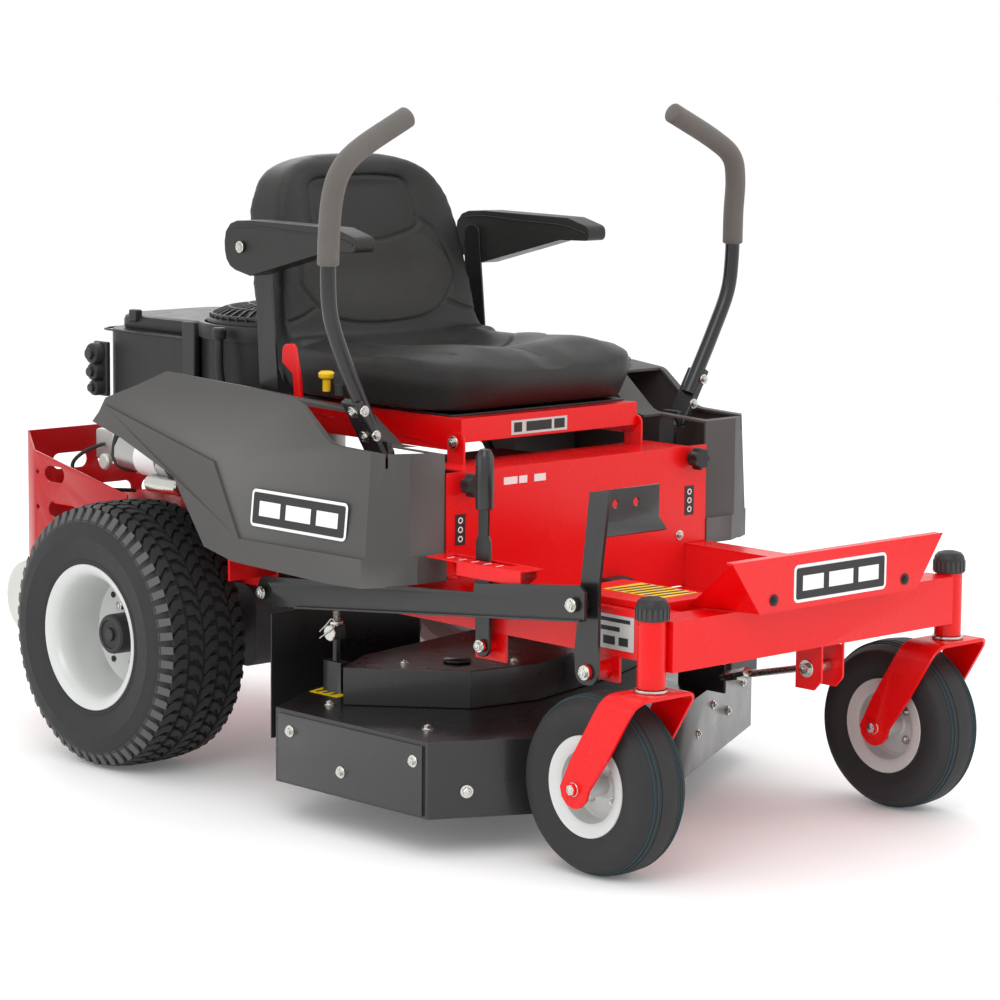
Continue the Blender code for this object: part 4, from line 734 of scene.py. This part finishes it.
# ---------------------------------------------------------------- levers
def lap_lever(side, word):
    knots = [(0.368, 0.610, 0.640), (0.392, 0.608, 0.684), (0.425, 0.606, 0.745), (0.455, 0.602, 0.812),
             (0.463, 0.600, 0.870), (0.463, 0.598, 0.950), (0.460, 0.592, 1.010), (0.444, 0.588, 1.050),
             (0.400, 0.592, 1.081), (0.304, 0.596, 1.126)]
    path = smooth_path([point(side * x, s, z) for x, s, z in knots], 8)
    body = "lever_" + word
    bar = tube("lap_bar_look_" + word, path[:44], 0.0125, 28)
    place(bar, body, "black_paint", "lap_bar_" + word)
    grip = tube("lap_grip_look_" + word, path[35:], 0.0175, 32, 0.004)
    place(grip, body, "foam", "lap_grip_" + word)
    lean = math.radians(31)
    along = Vector((math.sin(lean), math.cos(lean)))
    across = Vector((math.cos(lean), -math.sin(lean)))
    foot = Vector((0.3345, 0.581))
    bm = bmesh.new()
    rings = []
    for s in (0.595, 0.637):
        ring = []
        for up, out in ((0.008, 0), (0.008, 0.012), (0.118, 0.012), (0.118, 0)):
            c = foot + along * up + across * out
            ring.append(bm.verts.new(point(side * c.x, s, c.y)))
        rings.append(ring)
    skin(bm, rings)
    close_ends(bm, rings)
    plate = link("lap_plate_" + word, bm)
    soften(plate, 0.0022, 3)
    place(plate, body, "black_paint")
    low, high = sorted((side * 0.3305, side * 0.3405))
    box("lap_foot_" + word, (low, high), (0.597, 0.637), (0.584, 0.612), body, "black_paint", 0.002)
    for k, up in enumerate((0.052, 0.100)):
        c = foot + along * up + across * 0.012
        bolt(f"lap_bolt_{word}_{k}", point(side * c.x, 0.6165, c.y), (side * across.x, 0, across.y), body,
             0.0072, 0.0055, 1.5)
    for k, up in enumerate((0.052, 0.100)):
        c = foot + along * up + across * 0.006
        bolt(f"lap_front_bolt_{word}_{k}", point(side * c.x, 0.595, c.y), (0, -1, 0), body, 0.0060, 0.0050, 1.5)
    dress("lap_base_" + word, 0.001, "black_paint")


# ---------------------------------------------------------------- everything else
def guard():
    """Bent guard with round-ended vents and small diamond holes near its corners."""
    plan = [(-0.250, 1.405), (-0.250, 1.690), (-0.200, 1.778), (0.200, 1.778), (0.250, 1.690), (0.250, 1.405),
            (0.247, 1.405), (0.247, 1.6892), (0.1983, 1.775), (-0.1983, 1.775), (-0.247, 1.6892), (-0.247, 1.405)]
    wall = extrude("guard", plan, "Z", 0.272, 0.509)
    slope = extrude("slope", [(1.30, 0.410), (1.685, 0.484), (1.772, 0.5085), (1.772, 0.60), (1.30, 0.60)], "X",
                    -0.30, 0.30)
    meet(wall, slope, "DIFFERENCE")

    def vent(axis, middle, level, half, low, high):
        loop = [(middle + a, level + b) for a, b in rounded_loop(2 * half, 0.030, 0.0145, 6)]
        meet(wall, extrude("vent", loop, axis, low, high), "DIFFERENCE")

    for level in (0.445, 0.380, 0.315):
        runs = [(1.625, 0.030)] if level > 0.44 else [(1.602, 0.042), (1.472, 0.042)]
        for side in (-1, 1):
            low, high = sorted((side * 0.22, side * 0.27))
            for middle, half in runs:
                vent("X", middle, level, half, low, high)
            spot = [(1.672, level), (1.678, level + 0.007), (1.684, level), (1.678, level - 0.007)]
            meet(wall, extrude("diamond", spot, "X", low, high), "DIFFERENCE")
        for middle in (-0.105, 0.0, 0.105):
            vent("Y", middle, level, 0.040, 1.75, 1.80)
    soften(wall, 0.0007, 2)
    # The guard takes the darkened red: painted shade over the same red paint.
    place(wall, "chassis", "guard_red_painted_shade", "rear_guard", slot="red_paint")


def inboard_fall(x):
    """How far the right fender's top drops from its outer edge in to x."""
    return 0.034 * (0.44 - min(abs(x), 0.44)) / 0.178


def fender(name):
    """Fender copy: the outer wall leans in toward the top, and the right one's top falls inboard."""
    bm = copy_of(name)
    for v in bm.verts:
        out = abs(v.co.x)
        if name == "fender_right" and v.co.z > 0.585:
            v.co.z -= inboard_fall(out) * smoothstep(0.585, 0.640, v.co.z)
        lean = 0.018 * smoothstep(0.46, 0.69, v.co.z) * smoothstep(0.415, 0.436, out)
        v.co.x -= lean if v.co.x > 0 else -lean
    item = link("look_" + name, bm, 30)
    soften(item, 0.0035, 3, 28)
    place(item, "chassis", "fender_plastic", name)


def frame_pieces():
    dress("main_frame", 0.0022, angle=40)
    dress_all(foot_pan=0.0016, riser_panel=0.0012, bumper_plate=0.0011, height_gate=0.0009)
    guard()
    dress("seat_platform", 0.0012)
    for side, word in SIDES:
        dress("caster_fork_" + word, 0.0012, angle=50)
        cap = [(0, 0.4375), (0.010, 0.4372), (0.0190, 0.4345), (0.0235, 0.4295), (0.0252, 0.4230), (0.0252, 0.4030),
               (0.0228, 0.4022), (0.0228, 0.4100), (0, 0.4100)]
        stem = point(side * CASTER_CENTRE[0], 0, 0)
        item = lathe("tube_cap_" + word, cap, stem, UPWARD, 48, 30)
        place(item)
        bm = bmesh.new()
        for k in range(20):
            a = 2 * math.pi * k / 20
            bmesh.ops.create_cube(bm, size=1, matrix=Matrix.Translation(stem + Vector((0, 0, 0.4135)))
                                  @ Matrix.Rotation(a, 4, "Z") @ Matrix.Translation((0.0252, 0, 0))
                                  @ Matrix.Diagonal((0.0022, 0.0036, 0.0170, 1)))
        place(link("cap_ribs_" + word, bm))
        washer = lathe("stem_washer_" + word, [(0.0135, 0.2940), (0.0255, 0.2940), (0.0262, 0.2960), (0.0255, 0.2990),
                       (0.0135, 0.2990)], stem, UPWARD, 40)
        place(washer, "caster_" + word, "zinc")
        bolt("hinge_bolt_" + word, point(side * 0.2125, 0.581, 0.601), (side, 0, 0), "seat", 0.0075, 0.006, 1.45)
        box("platform_skirt_" + word, sorted((side * 0.1985, side * 0.2015)), (0.602, 0.955), (0.585, 0.620), "seat",
            "red_paint", 0.0008)
        bolt("bumper_bolt_" + word, point(side * 0.152, -0.0672, 0.4195), (0, -1, 0), "chassis", 0.0060, 0.004, 1.5,
             "dark_ink_and_hole_shade")


def engine_end():
    dress("engine_block", 0.002)
    dress("blower_housing", 0.0022, segments=3)
    dress("engine_cover", 0.0150, segments=5, angle=40)
    dress("cooling_screen", 0.0015)
    dress_all(3, starter_motor=0.003, muffler=0.003)
    dress("clutch_pulley", 0.0008)
    centre = point(0, 1.240, 0)
    bm = bmesh.new()
    for k in range(44):
        a = 2 * math.pi * k / 44
        turn = Matrix.Translation(centre) @ Matrix.Rotation(a, 4, "Z")
        prev = None
        for reach, z in ((0.050, 0.7768), (0.090, 0.7712), (0.125, 0.7650), (0.150, 0.7535)):
            ring = [bm.verts.new(turn @ Vector((reach, w, z + h))) for w, h in
                    ((-0.0013, -0.006), (0.0013, -0.006), (0.0013, 0.0022), (-0.0013, 0.0022))]
            if prev:
                for i in range(4):
                    j = (i + 1) % 4
                    bm.faces.new((prev[i], prev[j], ring[j], ring[i]))
            else:
                bm.faces.new(ring)
            prev = ring
        bm.faces.new(prev[::-1])
    place(link("screen_fins", bm, 30), "crankshaft", "black_plastic")
    for name, radius, z in (("a", 0.080, 0.7735), ("b", 0.115, 0.7680), ("c", 0.146, 0.7565)):
        ring = lathe("screen_ring_" + name, band(radius - 0.0018, radius + 0.0018, z - 0.003, z + 0.0016), centre,
                     UPWARD, 64)
        place(ring, "crankshaft", "black_plastic")
    rim = lathe("blower_band", [(0.1665, 0.716), (0.1700, 0.716), (0.1710, 0.722), (0.1710, 0.738), (0.1690, 0.7425),
                (0.1600, 0.7425), (0.1600, 0.7400), (0.1665, 0.7390)], centre, UPWARD, 96)
    place(rim)


def small_parts():
    for name in ("fender_right", "fender_left"):
        fender(name)
    dress("cup_holder", 0.0014)
    dress("fuel_tank", 0.004, segments=3)
    dress("fuel_cap", 0.002)
    dress("battery", 0.003)
    for word in ("right", "left"):
        dress("transaxle_" + word, 0.003)
        dress("panel_knob_" + word, 0.0018, segments=3)
    dress("seat_pan", 0.001)
    dress("height_lever", 0.0014, segments=3)
    dress_all(lift_pedal=0.0012, lift_link=0.0012, lift_shaft=0.0012, front_link=0.0008)
    dress("throttle_lever", 0.0022, segments=3)
    dress_all(choke_knob=0.0012, ignition_key=0.0010, deck_shell=0.0016)
    dress("belt_cover", 0.0020, segments=3)
    # The rear shield is one dark plate across the full width: beyond the real shield it is a dark sheet standing in for
    # the shade behind the deck.
    dress_all(blade_belt=0.0006, blade_right=0.0006, blade_left=0.0006, rear_shield=0.0010)


def top_of(name, x, s):
    """Height of a CAD piece's upper surface."""
    mesh = frame["nodes"][name].data
    tree = BVHTree.FromPolygons([v.co for v in mesh.vertices], [f.vertices for f in mesh.polygons])
    return tree.ray_cast(point(x, s, 1.5), Vector((0, 0, -1)))[0].z


def rivet_row(name, places, axis, body, radius=0.006, height=0.005, tone="zinc"):
    for k, (x, s, z) in enumerate(places):
        bolt(f"{name}_{k}", point(x, s, z), axis, body, radius, height, 1.5, tone)


def linkage_bolts():
    for name, spot, way, body, radius, height, washer in (
            ("pedal_pivot_bolt", (-0.3435, 0.142, 0.302), -1, "chassis", 0.0085, 0.006, 1.4),
            ("lever_pivot_bolt", (-0.3235, 0.397, 0.305), -1, "chassis", 0.0075, 0.006, 1.4),
            ("bar_front_bolt", (-0.3645, 0.151, 0.407), -1, "lift_pedal", 0.0085, 0.006, 1.3),
            ("bar_rear_bolt", (-0.3670, 0.884, 0.333), -1, "lift_link", 0.0085, 0.005, 1.3),
            ("shaft_bolt", (-0.3145, 0.884, 0.420), -1, "lift_shaft", 0.0080, 0.005, 1.5),
            ("gate_bolt", (-0.3035, 0.420, 0.372), -1, "chassis", 0.0060, 0.004, 1.4),
            ("ear_bolt", (0.0078, 0.005, 0.285), -1, "chassis", 0.0095, 0.007, 1.5),
            ("ear_nut", (0.0622, 0.005, 0.285), 1, "chassis", 0.0095, 0.007, 1.5)):
        bolt(name, point(*spot), (way, 0, 0), body, radius, height, washer)
    for side, word in SIDES:
        rivet_row("riser_bolt_" + word, [(side * 0.236, 0.4998, 0.415)], (0, -1, 0), "chassis")
        rivet_row("rail_bolt_" + word, [(side * 0.3002, s, 0.362) for s in (0.520, 0.925, 1.120)], (side, 0, 0),
                  "chassis", 0.0062, 0.0045)
        x = side * HANGER_X
        rod = point(x, HANGER_STATION, 0)
        threads = [(0, 0.2955)]
        z = 0.2955
        while z < 0.3370:
            threads += [(0.0058, z), (0.0066, z + 0.0006), (0.0058, z + 0.0012)]
            z += 0.0016
        threads.append((0, z))
        place(lathe("hanger_thread_" + word, threads, rod, UPWARD, 20, 60), "deck", "zinc")
        nut = [(0.0062, 0.2945), (0.0120, 0.2945), (0.0125, 0.2960), (0.0125, 0.3010), (0.0110, 0.3025),
               (0.0062, 0.3025)]
        place(lathe("hanger_nut_" + word, nut, rod, UPWARD, 6, 20), "deck", "zinc")
        outer = x + side * 0.0112
        drum = lathe("hanger_block_" + word, [(0, 0), (0.0125, 0), (0.0135, 0.0010), (0.0135, 0.0036), (0.0120, 0.0046),
                     (0, 0.0046)], point(outer, HANGER_STATION, 0.283), OUT[side], 28, 30)
        place(drum, "deck", "zinc")
        bends = [point(outer + side * 0.0060, s, z) for s, z in
                 ((0.752, 0.272), (0.738, 0.281), (0.724, 0.289), (0.712, 0.301), (0.722, 0.308),
                  (0.735, 0.297), (0.752, 0.283))]
        place(tube("hanger_pin_" + word, smooth_path(bends, 5), 0.0013, 8), "deck", "zinc")


def deck_details():
    zinc_top = [(-0.411, 0.655, 0.1832), (-0.311, 0.745, 0.1832), (-0.420, 0.410, 0.1832), (0.360, 0.480, 0.1832)]
    rivet_row("deck_stud", zinc_top, (0, 0, 1), "deck", 0.0062, 0.006)
    rivet_row("deck_side_bolt", [(-0.4906, 0.535, 0.104), (-0.4906, 0.365, 0.150), (-0.4906, 0.660, 0.150)], (-1, 0, 0),
              "deck", 0.0066, 0.006)
    normal = Vector((0.072, 0.137, 0)).normalized() * -1
    bolt("deck_front_bolt", point(-0.4330, 0.3053, 0.104) + normal * 0.0008, normal, "deck", 0.0070, 0.006, 1.5)
    level = 0.1834
    decal("deck_label", flat(level, (-0.366, 0.760), (-0.315, 0.776), (-0.315, 0.700), (-0.366, 0.690)), (0, 0, 1),
          "deck", "yellow_label")
    for k in range(3):
        s = 0.712 + 0.018 * k
        stripe = flat(level + 0.0005, (-0.358, s), (-0.323, s + 0.003), (-0.323, s + 0.010), (-0.358, s + 0.007))
        decal(f"deck_label_mark_{k}", stripe, (0, 0, 1), "deck", "dark_ink_and_hole_shade", 0.0002)
    for k, (x, s) in enumerate(((-0.225, 0.555), (0.205, 0.680))):
        hub = [(0, 0.2455), (0.0210, 0.2455), (0.0230, 0.2475), (0.0230, 0.2500), (0.0190, 0.2520), (0, 0.2520)]
        place(lathe(f"cover_boss_{k}", hub, point(x, s, 0), UPWARD, 32, 30), "deck",
              "black_paint")
    rivet_row("cover_screw", [(-0.300, 0.600, 0.2452), (-0.150, 0.500, 0.2452), (0.230, 0.640, 0.2452)], (0, 0, 1),
              "deck", 0.0052, 0.004)
    box("spacer_box", (0.270, 0.335), (0.405, 0.440), (0.1835, 0.2350), "deck", "cast_iron", 0.002)
    slope = Vector((-0.209, 0.381, 0)).normalized() * -1
    for k, t in enumerate((0.15, 0.38, 0.62, 0.86)):
        x, s = 0.036 + 0.381 * t, 0.283 + 0.209 * t
        bolt(f"skirt_bolt_{k}", point(x, s, 0.120 + 0.03 * (k % 2)) - slope * 0.0004, slope, "deck", 0.0055,
             0.0045, 1.5)
    turn = points((0.098, 0.212, 0.238), (0.110, 0.238, 0.230), (0.121, 0.264, 0.223))
    place(tube("turnbuckle", turn, 0.0085, 6, 0.001), "front_link", "zinc")


def panel_details():
    front = 0.4997
    decal("flange_label", upright(0.5717, (-0.092, 0.036), (0.6050, 0.6285)), (0, -1, 0), "seat", "silver_label")
    for k, (low, high) in enumerate(((-0.086, -0.068), (-0.058, 0.000), (0.006, 0.030))):
        decal(f"flange_mark_{k}", upright(0.5712, (low, high), (0.6090, 0.6250)), (0, -1, 0), "seat", "dark_ink_and_hole_shade",
              0.0002)
    for word, x in (("right", -0.271), ("left", 0.259)):
        decal("icon_plate_" + word, upright(front, (x - 0.011, x + 0.011), (0.448, 0.498)), (0, -1, 0), "chassis",
              "dark_ink_and_hole_shade")
        for k, z in enumerate((0.488, 0.473, 0.458)):
            ring = lathe(f"icon_{word}_{k}", band(0.0032, 0.0052, 0.0, 0.0004),
                         point(x, front - 0.0004, z), (Vector((0, -1, 0)), Vector((1, 0, 0))), 24)
            place(ring, "chassis", "white_ink")
    for k, width in enumerate((0.030, 0.018, 0.026)):
        x = -0.176 + 0.034 * k
        decal(f"panel_bar_{k}", upright(front, (x, x + width), (0.537, 0.549)), (0, -1, 0), "chassis", "white_ink")
    decal("step_decal", flat(0.4122, (-0.242, 0.205), (-0.158, 0.205), (-0.158, 0.085), (-0.242, 0.085)), (0, 0, 1),
          "chassis", "yellow_label")
    for k in range(6):
        s = 0.098 + 0.018 * k
        stripe = flat(0.4127, (-0.240, s), (-0.160, s - 0.008), (-0.160, s), (-0.240, s + 0.008))
        decal(f"step_stripe_{k}", stripe, (0, 0, 1), "chassis", "dark_ink_and_hole_shade", 0.0002)
    corners = points((-0.3003, 0.158, 0.389), (-0.3003, 0.080, 0.389), (-0.3003, 0.080, 0.336), (-0.3003, 0.158, 0.336))
    decal("rail_label", corners, (-1, 0, 0), "chassis", "silver_label")
    for k, (low, high, s0, s1) in enumerate(((0.378, 0.384, 0.150, 0.088), (0.364, 0.371, 0.150, 0.110),
                                              (0.343, 0.356, 0.145, 0.120), (0.343, 0.356, 0.112, 0.092))):
        corners = points((-0.3008, s0, high), (-0.3008, s1, high), (-0.3008, s1, low), (-0.3008, s0, low))
        decal(f"rail_mark_{k}", corners, (-1, 0, 0), "chassis", "dark_ink_and_hole_shade", 0.0002)
    box("floor_clip", (0.045, 0.095), (0.468, 0.4985), (0.3275, 0.3620), width=0.004, segments=3)
    box("floor_clip_tab", (0.055, 0.085), (0.440, 0.470), (0.3275, 0.3380), width=0.003, segments=3)
    for k in range(5):
        s = 0.335 + 0.028 * k
        mark = flat(0.4412, (-0.345, s), (-0.330, s), (-0.330, s + 0.003), (-0.345, s + 0.003))
        decal(f"gate_mark_{k}", mark, (0, 0, 1), "chassis", "white_ink", 0.0002)
    strip = []
    for x, s in ((-0.336, 0.730), (-0.336, 1.020), (-0.292, 1.020), (-0.292, 0.730)):
        strip.append(point(x, s, top_of("fender_right", x, s) - inboard_fall(x) + 0.0006))
    decal("control_strip", strip, (0, 0, 1), "chassis", "black_plastic", 0.0008)
    badge("rear_plate", point(0.0, 1.7783, 0.478), (-1, 0, 0), (0, 0, 1), (0.150, 0.036), "chassis")


def engine_details():
    side = OUT[-1]
    for k, (s, z, radius) in enumerate(((1.585, 0.668, 0.020), (1.583, 0.635, 0.017), (1.580, 0.606, 0.015))):
        body = [(0, 0.172), (radius * 0.8, 0.172), (radius, 0.176), (radius, 0.190), (radius * 0.9, 0.194),
                (radius * 0.55, 0.196), (radius * 0.5, 0.202), (0, 0.203)]
        place(lathe(f"pump_{k}", body, point(0, s, z), side, 28, 30))
    box("pump_plate", (-0.178, -0.168), (1.560, 1.600), (0.590, 0.690), width=0.003, segments=3)
    box("intake_casting", (-0.170, -0.060), (1.549, 1.607), (0.470, 0.527), "chassis", "aluminium", 0.005, 3)
    for k in range(5):
        z = 0.442 + 0.022 * k
        box(f"cooling_fin_{k}", (-0.080, 0.090), (1.330, 1.6420), (z, z + 0.003), "chassis", "aluminium", 0.0008, 1)
    hose = smooth_path(points((-0.120, 1.545, 0.560), (-0.165, 1.540, 0.520), (-0.190, 1.515, 0.482),
                              (-0.196, 1.480, 0.470), (-0.192, 1.440, 0.474), (-0.170, 1.405, 0.490),
                              (-0.120, 1.392, 0.520)), 6)
    place(tube("fuel_hose", hose, 0.0085, 20), "chassis", "belt_rubber")
    cap = [(0, 0), (0.013, 0), (0.015, 0.002), (0.015, 0.010), (0.012, 0.013), (0, 0.013)]
    place(lathe("filler_cap", cap, point(-0.175, 1.560, 0.470), side, 24, 30), "chassis", "pale_steel")
    cable = smooth_path(points((-0.172, 1.580, 0.500), (-0.200, 1.600, 0.486), (-0.214, 1.618, 0.462),
                               (-0.206, 1.610, 0.432), (-0.180, 1.580, 0.418), (-0.120, 1.550, 0.4120)), 6)
    place(tube("vent_tube", cable, 0.0036, 14), "chassis", "belt_rubber")
    box("heat_label", (-0.1975, -0.1968), (1.408, 1.470), (0.5290, 0.5440), "chassis", "yellow_label", 0.0)
    solenoid = [(0, 1.292), (0.013, 1.292), (0.0155, 1.296), (0.0155, 1.380), (0.013, 1.384), (0, 1.384)]
    axes = (Vector((0, 1, 0)), Vector((1, 0, 0)))
    place(lathe("solenoid", solenoid, point(-0.215, 0, 0.452), axes, 28, 30), "chassis", "zinc")
    label = lathe("starter_label", band(0.0345, 0.0352, 1.360, 1.420), point(-0.190, 0, 0.4945), axes, 48, 60)
    place(label, "chassis", "white_ink")
    nose = [(0, 1.480), (0.020, 1.480), (0.022, 1.483), (0.022, 1.492), (0.018, 1.496), (0, 1.496)]
    place(lathe("starter_nose", nose, point(-0.190, 0, 0.500), axes, 28, 30), "chassis", "aluminium")
    box("upright_bracket", (-0.2060, -0.2000), (1.266, 1.300), (0.585, 0.7480), width=0.002)
    dipstick = smooth_path(points((-0.150, 1.170, 0.560), (-0.188, 1.190, 0.600), (-0.196, 1.205, 0.660),
                                  (-0.192, 1.212, 0.722)), 6)
    place(tube("dipstick_tube", dipstick, 0.0075, 18))
    head = [(0, 0.722), (0.012, 0.722), (0.013, 0.726), (0.013, 0.738), (0.010, 0.742), (0, 0.742)]
    place(lathe("dipstick_cap", head, point(-0.192, 1.212, 0), UPWARD, 24, 30))
    for k in range(6):
        x = -0.120 + 0.040 * k
        box(f"cover_louvre_{k}", (x, x + 0.026), (1.5990, 1.6025), (0.610, 0.690), width=0.0012)
    box("cover_tab", (-0.1560, -0.1400), (1.500, 1.522), (0.7300, 0.7520), width=0.003, segments=3)
    seam = flat(0.7125, (-0.1690, 1.345), (-0.1690, 1.555), (-0.155, 1.585), (-0.118, 1.6010), (0.080, 1.6010),
                (0.112, 1.585), (0.1260, 1.555), (0.1260, 1.345))
    place(tube("cover_seam", smooth_path(seam, 4), 0.0020, 8))


def markings():
    badge("fender_badge", point(-0.4402, 0.699, 0.4910), (0, -1, 0), (0, 0, 1), (0.238, 0.062), "chassis", 0.12)
    badge("bumper_badge", point(0.0, -0.0672, 0.4385), (1, 0, 0), (0, 0, 1), (0.214, 0.058), "chassis", 0.0)


camera()
studio()
frame_pieces()
for sign, side_word in SIDES:
    drive_wheel(sign, side_word)
    caster_wheel(sign, side_word)
    lap_lever(sign, side_word)
    armrest(sign, side_word)
bucket()
engine_end()
engine_details()
small_parts()
linkage_bolts()
deck_details()
panel_details()
markings()
